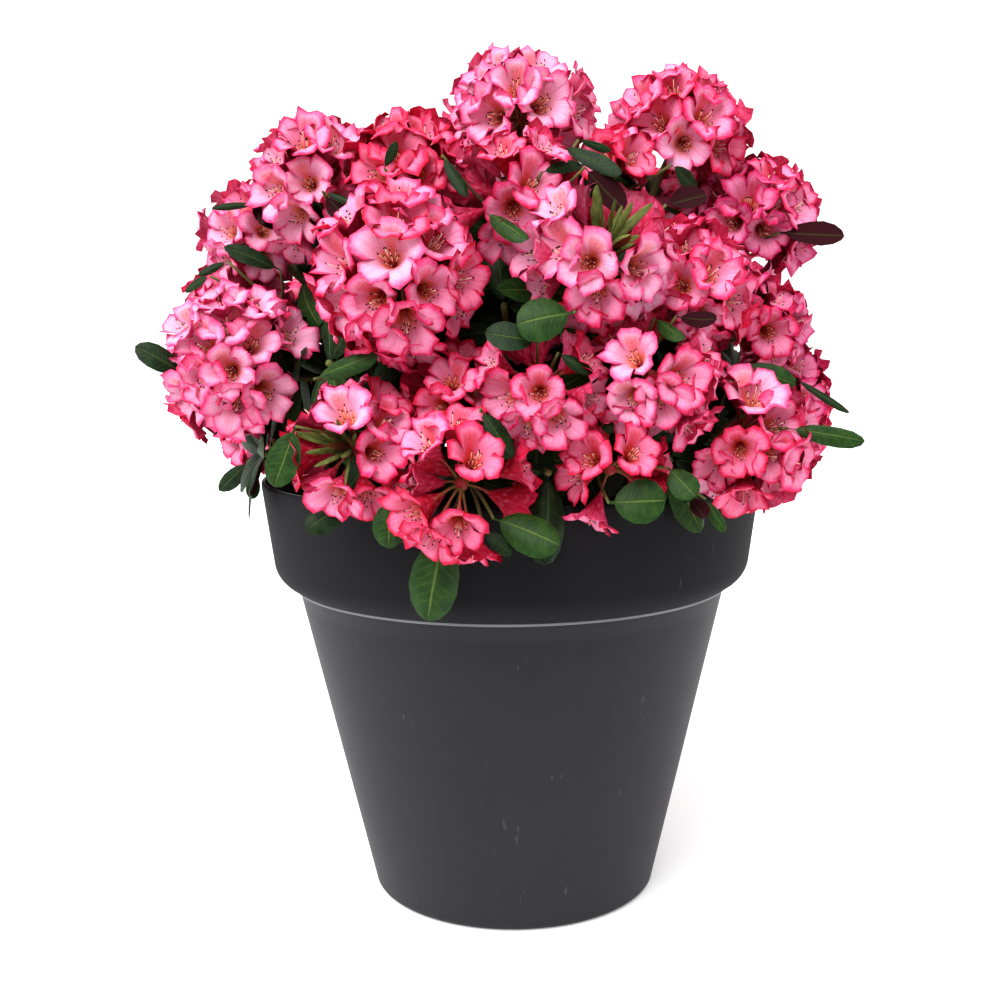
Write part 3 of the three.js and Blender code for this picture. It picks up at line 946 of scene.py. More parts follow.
@dataclass
class PottingSoil:
    """The compost: a crumbly surface, heaped a little at the trunk, over a flat underside."""

    top: float = 0.300
    depth: float = 0.016
    radius: float = 0.1885
    lump: float = 0.0026
    sink: float = 1.2
    waves: int = 60
    pitch: tuple = (0.006, 0.05)
    mound: float = 0.002
    mound_radius: float = 0.03
    axis_gap: float = 0.0005
    rings: int = 70
    sides: int = 220
    name: str = "potting_soil_crumbs"

    def build(self) -> bpy.types.Object:
        """Height is top - lump + lump times a sum of waves that run every way across the soil."""
        rng = np.random.default_rng(SEED)
        radius = np.linspace(self.axis_gap, self.radius, self.rings)[:, None]
        angle = spokes(self.sides)
        x, y = radius * np.cos(angle), radius * np.sin(angle)
        pitch = rng.uniform(*self.pitch, self.waves)
        heading = rng.uniform(0, FULL_TURN, self.waves)
        phase = rng.uniform(0, FULL_TURN, self.waves)
        run = x[..., None] * np.cos(heading) + y[..., None] * np.sin(heading)
        heap = np.sum(np.sin(run * FULL_TURN / pitch + phase) * np.sqrt(pitch), axis=-1)
        heap = heap / np.abs(heap).max()
        mound = self.mound * np.exp(-((radius / self.mound_radius) ** 2))
        level = self.top - self.lump * self.sink + self.lump * heap + mound
        crumbs = np.stack([x, y, level], axis=-1)
        rim = np.stack([x[-1], y[-1], np.full(self.sides, self.top - self.depth)], axis=-1)
        shape = Surface.capped(np.concatenate([crumbs, rim[None]]))
        shape.faces = [face[:, ::-1] for face in shape.faces]
        soil = shape.piece(self.name, "potting_soil", CompostFinish().material(), mapped=False)
        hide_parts("potting_soil")
        return soil


# ---- The crown's plan ----------------------------------------------------------------------------


class Habit(Enum):
    """What a twig carries at its tip."""

    CLOSED = "closed"
    FAN = "fan"
    OPEN = "open"
    SHOOT = "shoot"
    LEAFY = "leafy"

    @property
    def bare_angle(self) -> float:
        """The angle from the head's axis, in degrees, within which no flowers stand."""
        return {Habit.FAN: 21.0, Habit.OPEN: 36.0, Habit.SHOOT: 35.0}.get(self, 0.0)


@dataclass(frozen=True)
class Row:
    """One twig: bearing and turn in degrees, the rest in millimetres, with lift above the rim."""

    bearing: float
    lift: float
    reach: float
    size: float
    turn: float
    habit: Habit = Habit.CLOSED
    tint: Tint = Tint.ROSE


@dataclass(frozen=True)
class OwnLeaf:
    """A leaf on a side twig of its own, in millimetres, with its face or its back to the front."""

    base: tuple[int, int, int]
    tip: tuple[int, int, int]
    width: float
    # Leaves listed without a green take the deep green of painted shade.
    green: Green = Green.DEEP_SHADE
    shows_back: bool = False


@dataclass(frozen=True)
class BoughRow:
    """One bough, with the height at which it leaves the trunk, in millimetres."""

    name: str
    leaves: float
    rows: tuple[Row, ...]


FRONT_BOUGHS = (
    BoughRow(
        "left",
        332,
        (
            Row(-63, 92, 220, 62, 40, tint=Tint.PALE_LIT),
            Row(-79, 186, 196, 46, 15, tint=Tint.PALE_LIT),
            Row(-55, 218, 166, 54, 65, tint=Tint.PALE_LIT),
            Row(-68, 26, 204, 28, 30, Habit.LEAFY),
            Row(-70, 146, 206, 22, 0, Habit.LEAFY),
        ),
    ),
    BoughRow(
        "front_left",
        356,
        (
            Row(-28, 40, 218, 50, 10, Habit.SHOOT),
            Row(-20, 150, 206, 62, 30, Habit.FAN),
            Row(-40, 96, 196, 26, 15, Habit.LEAFY),
        ),
    ),
    BoughRow(
        "front",
        320,
        (
            Row(-8, 20, 228, 54, 5, Habit.OPEN, Tint.RED),
            Row(18, 26, 212, 46, 25, tint=Tint.RED),
            Row(6, 80, 210, 48, 0),
            Row(-11, 72, 190, 40, 10, tint=Tint.RED),
            Row(-15, 18, 214, 20, 0, Habit.LEAFY),
            Row(7, 24, 208, 20, 24, Habit.LEAFY),
        ),
    ),
    BoughRow(
        "front_right",
        344,
        (
            Row(46, 42, 222, 54, 20),
            Row(25, 86, 218, 52, 45),
            Row(78, 68, 212, 42, 10, tint=Tint.MAUVE_SHADED),
            Row(32, 28, 206, 24, 0, Habit.LEAFY),
            Row(66, 92, 206, 22, 25, Habit.LEAFY),
        ),
    ),
    BoughRow(
        "front_high",
        378,
        (
            Row(17, 162, 202, 58, 35, Habit.SHOOT, Tint.PALE_LIT),
            Row(1, 204, 166, 48, 20),
            Row(38, 142, 198, 50, 0),
            Row(-1, 134, 176, 36, 10, Habit.LEAFY),
        ),
    ),
    BoughRow(
        "top",
        396,
        (
            Row(6, 266, 90, 56, 50, tint=Tint.PALE_LIT),
            Row(-29, 220, 144, 50, 15, tint=Tint.RED),
            Row(-82, 230, 78, 52, 14),
            Row(38, 232, 128, 26, 40, tint=Tint.RED),
            Row(100, 208, 62, 40, 20, Habit.LEAFY),
        ),
    ),
    BoughRow(
        "right",
        366,
        (
            Row(72, 258, 136, 56, 55),
            Row(77, 196, 190, 52, 30, tint=Tint.MAUVE_SHADED),
            Row(61, 116, 208, 38, 5, tint=Tint.MAUVE_SHADED),
            Row(80, 150, 178, 22, 10, Habit.LEAFY),
        ),
    ),
)

# Leaves that come out between the heads: over the pot's rim first, then from the left to the right.
OWN_LEAVES = (
    OwnLeaf((-42, -218, 332), (-60, -230, 266), 33, Green.FRESH),
    OwnLeaf((-76, -226, 352), (-82, -236, 319), 21, Green.FRESH),
    OwnLeaf((-73, -222, 341), (-66, -232, 324), 16),
    OwnLeaf((-105, -206, 347), (-136, -216, 331), 20),
    OwnLeaf((-11, -240, 339), (32, -252, 327), 28, Green.FRESH),
    OwnLeaf((-17, -238, 331), (1, -248, 318), 11),
    OwnLeaf((63, -230, 347), (98, -242, 350), 30, Green.FRESH),
    OwnLeaf((102, -220, 368), (119, -232, 351), 20, Green.FRESH),
    OwnLeaf((128, -208, 346), (141, -218, 325), 9, Green.FRESH),
    OwnLeaf((118, -210, 347), (128, -220, 332), 13, shows_back=True),
    OwnLeaf((-139, -216, 397), (-154, -224, 356), 23, Green.FRESH),
    OwnLeaf((-212, 20, 340), (-215, 8, 320), 12),
    OwnLeaf((-212, -13, 352), (-237, -7, 327), 15),
    OwnLeaf((-232, -124, 428), (-262, -139, 451), 19),
    OwnLeaf((-213, -115, 497), (-236, -109, 488), 9),
    OwnLeaf((-173, -119, 545), (-172, -131, 531), 7, shows_back=True),
    OwnLeaf((-179, -104, 548), (-212, -114, 548), 6),
    OwnLeaf((-160, -106, 529), (-185, -120, 541), 12, shows_back=True),
    OwnLeaf((-167, -92, 502), (-205, -106, 521), 15),
    OwnLeaf((-208, -78, 509), (-229, -86, 500), 7),
    OwnLeaf((-126, -150, 552), (-97, -162, 542), 6),
    OwnLeaf((-125, -142, 550), (-108, -152, 530), 15, shows_back=True),
    OwnLeaf((-82, -166, 565), (-73, -172, 582), 7),
    OwnLeaf((-43, -176, 572), (-26, -188, 544), 9),
    OwnLeaf((-128, -201, 427), (-87, -228, 445), 15, Green.FRESH),
    OwnLeaf((-18, -240, 409), (1, -254, 379), 18),
    OwnLeaf((18, -232, 450), (-15, -240, 458), 21),
    OwnLeaf((41, -234, 468), (4, -242, 465), 30, Green.FRESH),
    OwnLeaf((-14, -199, 533), (13, -232, 515), 14, Green.FRESH),
    OwnLeaf((22, -195, 558), (52, -184, 568), 9),
    OwnLeaf((36, -175, 577), (73, -206, 558), 12),
    OwnLeaf((48, -160, 583), (71, -152, 577), 7),
    OwnLeaf((50, -195, 561), (75, -189, 532), 19, shows_back=True),
    OwnLeaf((103, -194, 537), (128, -183, 542), 18, shows_back=True),
    OwnLeaf((118, -96, 573), (142, -88, 555), 13),
    OwnLeaf((200, -80, 525), (246, -90, 521), 20, shows_back=True),
    OwnLeaf((94, -210, 464), (110, -236, 452), 12, Green.FRESH),
    OwnLeaf((108, -210, 465), (135, -223, 459), 12, shows_back=True),
    OwnLeaf((160, -159, 432), (196, -171, 419), 16, Green.FRESH),
    OwnLeaf((196, -160, 422), (231, -174, 399), 6),
    OwnLeaf((186, -186, 390), (240, -196, 383), 15, Green.FRESH),
    OwnLeaf((31, -232, 443), (54, -238, 431), 10),
    OwnLeaf((55, -207, 410), (67, -220, 392), 10),
)

REAR_MIDDLE = 180
REAR_COUNT = 5
REAR_JITTER = 9
REAR_TURN = 50
REAR_LEAVES = (324, 350, 330, 362, 384)
TINTS_BESIDE = {
    Tint.PALE_LIT: (Tint.ROSE, Tint.PALE_LIT),
    Tint.ROSE: (Tint.RED, Tint.PALE_LIT),
    Tint.RED: (Tint.ROSE, Tint.RED),
    Tint.MAUVE_SHADED: (Tint.ROSE, Tint.MAUVE_SHADED),
}
REAR_TINTS = (Tint.ROSE, Tint.PALE_LIT, Tint.ROSE, Tint.MAUVE_SHADED, Tint.ROSE, Tint.RED)
# Each row: step from bough to bough and stagger in degrees, then lift, reach, size and habit.
REAR_ROWS = (
    (37, -6, 38, 216, 58, Habit.CLOSED),
    (37.5, 12, 122, 212, 58, Habit.CLOSED),
    (39, -6, 206, 160, 58, Habit.CLOSED),
    (37, 13, 60, 206, 24, Habit.LEAFY),
)
REAR_TOP_BOUGH = 2
REAR_TOP = Row(174, 262, 62, 56, 20, tint=Tint.PALE_LIT)


def rear_bough(k: int) -> BoughRow:
    """One bough of the far side, where a pattern of heads repeats round the pot."""
    rows = []
    for i, (step, stagger, lift, reach, size, habit) in enumerate(REAR_ROWS):
        bearing = REAR_MIDDLE + (k - (REAR_COUNT - 1) / 2) * step + stagger
        bearing = float(bearing + either(k, i, REAR_JITTER / 3))
        lift = float(lift + either(k, i + 10, REAR_JITTER))
        reach = float(reach + either(k, i + 20, REAR_JITTER / 2))
        turn = float(chance(k, i + 30) * REAR_TURN)
        tint = REAR_TINTS[(k + 2 * i) % len(REAR_TINTS)]
        rows.append(Row(bearing, lift, reach, size, turn, habit, tint))
    if k == REAR_TOP_BOUGH:
        rows.append(REAR_TOP)
    return BoughRow(f"rear_{k + 1}", REAR_LEAVES[k], tuple(rows))


@dataclass
class Crown:
    """Every head as arrays, with its axis, its twig and the planes half way to the others."""

    boughs: tuple[BoughRow, ...]
    own_leaves: tuple[OwnLeaf, ...]
    rim: float = 0.340
    heart_height: float = 0.384
    upward: float = 0.15
    fork_share: float = 0.48
    sweep: float = 0.25
    gap: float = 0.0003
    stem_length: float = 0.012
    root_share: float = 0.7
    twig_rise: float = 0.5
    cell_gap: float = 0.0004
    trunk_lean: float = 0.05
    soil_top: float = 0.300
    twig_steps: int = 12
    side_shares: tuple = (0.1, 0.8, 15)
    side_bow: float = 0.008

    def __post_init__(self) -> None:
        """Works out heads, bough curves, stems and twigs by the part's rule."""
        rows = [row for bough in self.boughs for row in bough.rows]
        self.rows = rows
        places = [(i, k) for i, bough in enumerate(self.boughs) for k in range(len(bough.rows))]
        self.mass, number = np.array(places).T
        self.key = 10 * self.mass + number
        self.size = np.array([row.size for row in rows]) * MM
        self.turn = np.radians([row.turn for row in rows])
        bearing = np.array([row.bearing for row in rows])
        reach = np.array([row.reach for row in rows]) * MM
        self.centre = polar(bearing, reach, self.rim + np.array([row.lift for row in rows]) * MM)
        heart = np.array([0.0, 0.0, self.heart_height])
        self.axis = unit(unit(self.centre - heart) + np.array([0, 0, self.upward]))
        masses = range(len(self.boughs))
        middles = np.stack([self.centre[self.mass == i].mean(axis=0) for i in masses])
        leaves = np.array([bough.leaves for bough in self.boughs]) * MM
        self.base = self.trunk_axis(leaves)
        self.tip = heart + (middles - heart) * self.fork_share
        self.knee = (self.base + self.tip) / 2
        self.knee[:, 2] = self.base[:, 2] + (self.tip[:, 2] - self.base[:, 2]) * self.sweep
        heading = unit(self.tip - self.knee)
        self.foot = self.tip + heading * self.gap
        self.fork = self.foot + heading * self.stem_length
        self.root = (self.foot + (self.fork - self.foot) * self.root_share)[self.mass]
        length = np.linalg.norm(self.root - self.centre, axis=-1, keepdims=True)
        self.twig_knee = self.centre - self.axis * self.twig_rise * length
        self.leaf_base = np.array([leaf.base for leaf in self.own_leaves]) * MM
        self.leaf_tip = np.array([leaf.tip for leaf in self.own_leaves]) * MM
        self._cells()

    def trunk_axis(self, height: Array) -> Array:
        """The trunk's middle at each height, leaning a little towards the front."""
        return np.stack([0 * height, -self.trunk_lean * (height - self.soil_top), height], axis=-1)

    def _cells(self) -> None:
        """The planes half way to each other head, by the ratio of their sizes."""
        away = self.centre[None] - self.centre[:, None]
        distance = np.linalg.norm(away, axis=-1)
        np.fill_diagonal(distance, 1.0)
        self.plane = away / distance[..., None]
        share = self.size[:, None] / (self.size[:, None] + self.size[None])
        self.plane_reach = distance * share - self.cell_gap
        np.fill_diagonal(self.plane_reach, np.inf)

    def fit(self, head: Array, offsets: Array) -> Array:
        """How far sets of offsets from a head's centre shrink to stay behind the head's planes.

        Args:
            head: The head's number for each set, (N,).
            offsets: Offsets from the centre, (N, points, 3).

        Returns:
            Scales of at most 1, (N,).
        """
        along = np.einsum("npi,nhi->nph", offsets, self.plane[head])
        reach = np.broadcast_to(self.plane_reach[head][:, None], along.shape)
        over = along > reach
        shares = np.where(over, reach / np.where(over, along, 1.0), 1.0)
        return np.clip(shares.min(axis=(1, 2)), 0, 1)

    def outside_share(self, head: Array, places: Array) -> Array:
        """How deep places are inside the cells of other masses' heads, in metres, (N, points)."""
        offsets = places - self.centre[head][:, None]
        along = np.einsum("npi,nhi->nph", offsets, self.plane[head])
        other = self.mass[None] != self.mass[head][:, None]
        over = np.where(other[:, None], along - self.plane_reach[head][:, None], -1.0)
        return np.maximum(over.max(axis=-1), 0)

    def twig(self, heads: Array, share: Array) -> Array:
        """A point a share of the way up each head's twig."""
        t = np.asarray(share)[..., None] * np.ones((len(heads), 1))
        root, knee, end = self.root[heads], self.twig_knee[heads], self.centre[heads]
        return root * (1 - t) ** 2 + knee * 2 * t * (1 - t) + end * t**2

    def side_twigs(self) -> tuple[Array, Array, Array]:
        """Start, knee and end of each own leaf's twig, which leaves the nearest twig."""
        shares = np.linspace(*self.side_shares)
        heads = np.arange(len(self.rows))
        places = np.stack([self.twig(heads, share) for share in shares]).reshape(-1, 3)
        away = np.linalg.norm(self.leaf_base[:, None] - places[None], axis=-1)
        start = places[np.argmin(away, axis=1)]
        inwards = unit(np.array([0, 0, self.heart_height]) - self.leaf_base)
        return start, (start + self.leaf_base) / 2 + inwards * self.side_bow, self.leaf_base

    def along_leaves(self, first: float, count: int) -> Array:
        """Places along the own leaves, from a share of their length on, (count, leaves, 3)."""
        share = np.linspace(first, 1.0, count)[:, None, None]
        return self.leaf_base * (1 - share) + self.leaf_tip * share

    def mass_nodes(self) -> list[str]:
        """The part's nodes that the crown's pieces stand for."""
        return [f"mass_{bough.name}" for bough in self.boughs]


# ---- Woody frame ---------------------------------------------------------------------------------


@dataclass
class WoodyFrame:
    """Trunk, boughs, stems and twigs, with the bark's relief on the trunk and boughs."""

    crown: Crown
    trunk_top: float = 0.402
    flare_radius: float = 0.027
    flare_height: float = 0.024
    trunk_radius: float = 0.016
    trunk_tip: float = 0.011
    trunk_sides: int = 64
    trunk_rings: int = 60
    trunk_dome: float = 0.06
    ridge: float = 0.035
    ridge_inset: float = 0.06
    # weight, ridges round the trunk, twist per metre, phase
    ridge_waves: tuple = ((1, 7, 40, 0), (0.6, 13, -90, 2), (1, 3, 25, 1))
    bough_base: float = 0.0065
    bough_tip: float = 0.0045
    bough_steps: int = 22
    bough_inset: float = 0.96
    # share of the radius, waves along the bough, shift from bough to bough
    swellings: tuple = ((0.05, 19, 2.1), (0.03, 47, 1))
    stem_radius: float = 0.0045
    twig_radius: float = 0.0036
    twig_tip: float = 0.0024
    side_radius: float = 0.0016
    side_tip: float = 0.0010
    side_steps: int = 6
    # corners of a bough, a stem, a twig and a side twig
    sides: tuple = (14, 10, 7, 6)
    bark: BarkFinish = BarkFinish("bark", tinted(120, 98, 78), tinted(58, 44, 34))
    twig_bark: StalkFinish = StalkFinish(
        "twig_bark", tinted(104, 82, 62), tinted(112, 116, 66), 0.75
    )

    def _trunk(self) -> Surface:
        """A flared post: the radius falls from the flare, with ridges that wander as they climb."""
        share = np.linspace(0, 1, self.trunk_rings)[:, None]
        soil = self.crown.soil_top
        height = soil + self.crown.gap + share * (self.trunk_top - soil)
        angle = spokes(self.trunk_sides)
        climb = height - soil
        flare = (self.flare_radius - self.trunk_radius) * np.exp(-climb / (self.flare_height / 3))
        taper = self.trunk_radius + (self.trunk_tip - self.trunk_radius) * share
        dome = np.sqrt(np.clip((1 - share) / self.trunk_dome, 0, 1))
        ridges = sum(
            weight * np.sin(count * angle + twist * climb + phase)
            for weight, count, twist, phase in self.ridge_waves
        )
        radius = (taper + flare) * dome * (1 + self.ridge * ridges - self.ridge_inset)
        rings = round_axis(radius, angle, height)
        rings[..., 1] -= self.crown.trunk_lean * climb
        return Surface.capped(rings)

    def _boughs(self) -> Surface:
        """Tapering limbs along the boughs' curves, swollen a little here and there."""
        crown = self.crown
        paths = bend(crown.base, crown.knee, crown.tip, self.bough_steps)
        share = np.linspace(0, 1, self.bough_steps + 1)[None]
        number = np.arange(len(paths))[:, None]
        waves = (w * np.sin(share * run + number * shift) for w, run, shift in self.swellings)
        taper = self.bough_base + (self.bough_tip - self.bough_base) * share
        return tubes(paths, taper * sum(waves, start=1) * self.bough_inset, self.sides[0])

    def _twigs(self) -> Surface:
        """Stems, and a twig from each stem to its head, slimmer towards the head."""
        crown = self.crown
        stems = bend(crown.foot, (crown.foot + crown.fork) / 2, crown.fork, 2)
        stem = tubes(stems, np.full(stems.shape[:2], self.stem_radius), self.sides[1])
        paths = bend(crown.root, crown.twig_knee, crown.centre, crown.twig_steps)
        share = np.linspace(0, 1, crown.twig_steps + 1)[None] * np.ones((len(paths), 1))
        radii = self.twig_radius + (self.twig_tip - self.twig_radius) * share
        twigs = tubes(paths, radii, self.sides[2])
        runs = bend(*crown.side_twigs(), self.side_steps)
        thin = np.linspace(self.side_radius, self.side_tip, self.side_steps + 1)
        fine = tubes(runs, np.tile(thin, (len(runs), 1)), self.sides[3])
        return Surface.joined([stem, twigs, fine])

    def build(self) -> list[bpy.types.Object]:
        """The bark piece for the trunk and boughs, and the twigs."""
        limbs = Surface.joined([self._trunk(), self._boughs()])
        bark = limbs.piece("trunk_and_boughs", "bark", self.bark.material(), mapped=False)
        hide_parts("trunk", *[f"bough_{bough.name}" for bough in self.crown.boughs])
        twigs = self._twigs().piece("twigs", "bark", self.twig_bark.material())
        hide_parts(*self.crown.mass_nodes())
        return [bark, twigs]


# ---- Flowers -------------------------------------------------------------------------------------


@dataclass
class Corolla:
    """A funnel of five ruffled lobes, life size, in several shapes, with its base at the origin."""

    shapes: int = 10
    steps: tuple = (0.0, 0.36, 0.64, 0.86, 1.0)
    columns: int = 7
    profile: tuple = ((0.0018, 0.0), (0.0070, 0.0105), (0.0120, 0.0285), (0.0220, 0.0235))
    mouth_height: float = 0.0235
    lobes: int = 5
    cleft: float = 0.33
    overlap: float = 0.20
    frill: float = 0.035
    thickness: float = 0.0005
    ruffle: float = 0.0024
    ruffle_from: float = 0.45
    shingle: float = 0.0015
    shingle_from: float = 0.4
    lobe_reach: tuple = (0.92, 1.05)
    notch: float = 0.03
    notch_width: float = 0.25
    flare: tuple = (0.86, 1.10)
    overlap_from: float = 0.42
    waves: tuple = (5.2, 9.5)
    small_wave: float = 0.55
    side_curl: tuple = (-0.0030, 0.0014)
    whole_curl: tuple = (-0.0028, 0.0014)
    frill_rise: float = 0.035

    def _outline(self, share: Array, spread: Array) -> tuple[Array, Array, Array, Array]:
        """Radius and height along the lobe, and the inward normal, by four control points."""
        p = np.array(self.profile)
        left = 1 - share
        weights = [left**3, 3 * left**2 * share, 3 * left * share**2, share**3]
        radius = sum(w * p[i, 0] * (spread if i > 1 else 1) for i, w in enumerate(weights))
        height = sum(w * p[i, 1] for i, w in enumerate(weights))
        slopes = [3 * left**2, 6 * left * share, 3 * share**2]
        run = sum(w * (p[i + 1, 0] - p[i, 0]) for i, w in enumerate(slopes)) * spread
        rise = sum(w * (p[i + 1, 1] - p[i, 1]) for i, w in enumerate(slopes))
        length = np.hypot(run, rise)
        return radius, height, -rise / length, run / length

    def points(self) -> Array:
        """Every shape's points, (shapes, lobes, layers, rows, columns, 3).

        Across a lobe a runs from -1 to 1, and t runs from its base to its edge. The edge lies at
        1 - cleft |a|^3, less a small notch. Each lobe is wider than its fifth of the turn, so that
        neighbours overlap, and waves across the edge ruffle it.
        """
        rng = np.random.default_rng(SEED)
        some = (self.shapes, self.lobes, 1, 1)
        a = np.linspace(-1, 1, self.columns)[None, None, None, :]
        t = np.array(self.steps)[None, None, :, None]
        reach = rng.uniform(*self.lobe_reach, some)
        frill = rng.uniform(-self.frill, self.frill, (self.shapes, self.lobes, 1, self.columns))
        notch = self.notch * np.exp(-((a / self.notch_width) ** 2))
        edge = (1 - self.cleft * np.abs(a) ** 3 - notch + frill) * reach
        s = t * edge
        spread = rng.uniform(*self.flare, (self.shapes, 1, 1, 1))
        radius, height, inward, forward = self._outline(s, spread)
        width = 1 + self.overlap * smooth((s - self.overlap_from) / 0.25)
        number = np.arange(self.lobes)[None, :, None, None]
        angle = FULL_TURN * number / self.lobes + math.pi / self.lobes * a * width
        late = smooth((t - self.ruffle_from) / 0.55) * smooth((s - self.ruffle_from) / 0.35)
        large, small = (np.sin(a * run + rng.uniform(0, FULL_TURN, some)) for run in self.waves)
        wave = large + self.small_wave * small
        curl = rng.uniform(*self.side_curl, some) * a**2 + rng.uniform(*self.whole_curl, some)
        curl = curl + frill * self.frill_rise * t**4
        ripple = self.ruffle * wave * (0.5 + 0.5 * np.abs(a)) + curl
        lift = late * ripple + self.shingle * a * smooth((s - self.shingle_from) * 4)
        depth = self.thickness * (1 - a**4) * smooth(t * 4) * (1 - t**5)
        layers = []
        for layer in (lift, lift - depth):
            r = radius + inward * layer
            z = height + forward * layer
            layers.append(round_axis(r, angle, z))
        return np.stack(layers, axis=2)

    def surface(self) -> Surface:
        """The faces of one flower, with each sheet on its own tile of the pattern map."""
        tiles = PetalFinish.tiles
        across = np.linspace(0.03, 0.97, self.columns)
        v, u = np.meshgrid(0.01 + 0.98 * np.array(self.steps), across, indexing="ij")
        blank = np.zeros((*u.shape, 3))
        sheets = []
        for lobe in range(self.lobes):
            for layer in range(2):
                tile = 2 if layer else int(lobe == 0)
                pattern = np.stack([(tile + u) / tiles, v], axis=-1)
                sheets.append(Surface.grid(blank, pattern, flip=bool(layer)))
        return Surface.joined(sheets)


@dataclass
class Stamens:
    """Nine stamens and a longer style in the throat, in several shapes, in the corolla's frame."""

    shapes: int = 6
    count: int = 9
    throat_height: float = 0.004
    foot_reach: float = 0.001
    uneven: float = 0.3
    reach: tuple = (0.0022, 0.0062)
    height: tuple = (0.0150, 0.0215)
    droop: float = 0.0012
    bow: float = 0.002
    bow_share: float = 0.1
    style_x: tuple = (-0.004, 0.001)
    style_y: tuple = (-0.002, 0.002)
    style_height: float = 0.0255
    style_knee: tuple = (-0.003, 0, 0.018)
    filament: float = 0.00036
    anther_length: float = 0.0023
    anther_width: float = 0.0012
    anther_tilt: float = 0.7

    def build(self) -> list[tuple[Surface, Array]]:
        """Filaments with the style, then anthers: a flower's faces, and every shape's points."""
        rng = np.random.default_rng(SEED + 1)
        filaments, anthers = [], []
        for _ in range(self.shapes):
            uneven = rng.uniform(-self.uneven, self.uneven, self.count)
            turn = (np.arange(self.count) + uneven) / self.count * FULL_TURN
            out = rng.uniform(*self.reach, self.count)
            height = rng.uniform(*self.height, self.count)
            foot = round_axis(self.foot_reach, turn, self.throat_height)
            tip = round_axis(out, turn, height) - [self.droop, 0, 0]
            bow = out * self.bow_share * np.cos(turn) - self.bow
            knee = (foot + tip) / 2 + np.stack([bow, 0 * bow, 0 * bow], axis=-1)
            style = [rng.uniform(*self.style_x), rng.uniform(*self.style_y), self.style_height]
            foot = np.concatenate([foot, [[0, 0, self.throat_height]]])
            tip = np.concatenate([tip, [style]])
            knee = np.concatenate([knee, [self.style_knee]])
            paths = bend(foot, knee, tip, 2)
            width = np.full(paths.shape[:2], self.filament)
            filaments.append(tubes(paths, width, 3))
            anthers.append(self._anthers(tip, unit(tip - knee), rng))
        return [(kind[0], np.stack([one.points for one in kind])) for kind in (filaments, anthers)]

    def _anthers(self, tips: Array, heading: Array, rng: np.random.Generator) -> Surface:
        """A pointed bead at each tip: six corners, of which four stand round the middle."""
        tilt = unit(heading + rng.normal(0, self.anther_tilt, tips.shape))
        first, second = square_to(tilt)
        wide, long = self.anther_width / 2, self.anther_length / 2
        waist = [first * wide, second * wide, -first * wide, -second * wide]
        places = tips[:, None] + np.stack([tilt * long, *waist, -tilt * long], axis=1)
        upper = [[0, 1, 2], [0, 2, 3], [0, 3, 4], [0, 4, 1]]
        faces = np.array(upper + [[5, 2, 1], [5, 3, 2], [5, 4, 3], [5, 1, 4]])
        round_waist = [[0.1, 0.5], [0.4, 0.5], [0.6, 0.5], [0.9, 0.5]]
        pattern = np.array([[0.5, 0.9], *round_waist, [0.5, 0.1]])
        return Surface(places[0], [faces], pattern).repeated(places)


@dataclass(frozen=True)
class PotRoom:
    """The room that the pot's wall and the soil take, which the crown keeps out of."""

    inner: float
    outer: float
    rim: float
    soil_top: float
    soil_radius: float = 0.188

    def met(self, places: Array) -> Array:
        """True for each set of places of which any lies in the wall or the soil."""
        out = np.hypot(places[..., 0], places[..., 1])
        wall = (out > self.inner) & (out < self.outer) & (places[..., 2] < self.rim)
        soil = (out <= self.soil_radius) & (places[..., 2] < self.soil_top)
        return np.any(wall | soil, axis=-1)


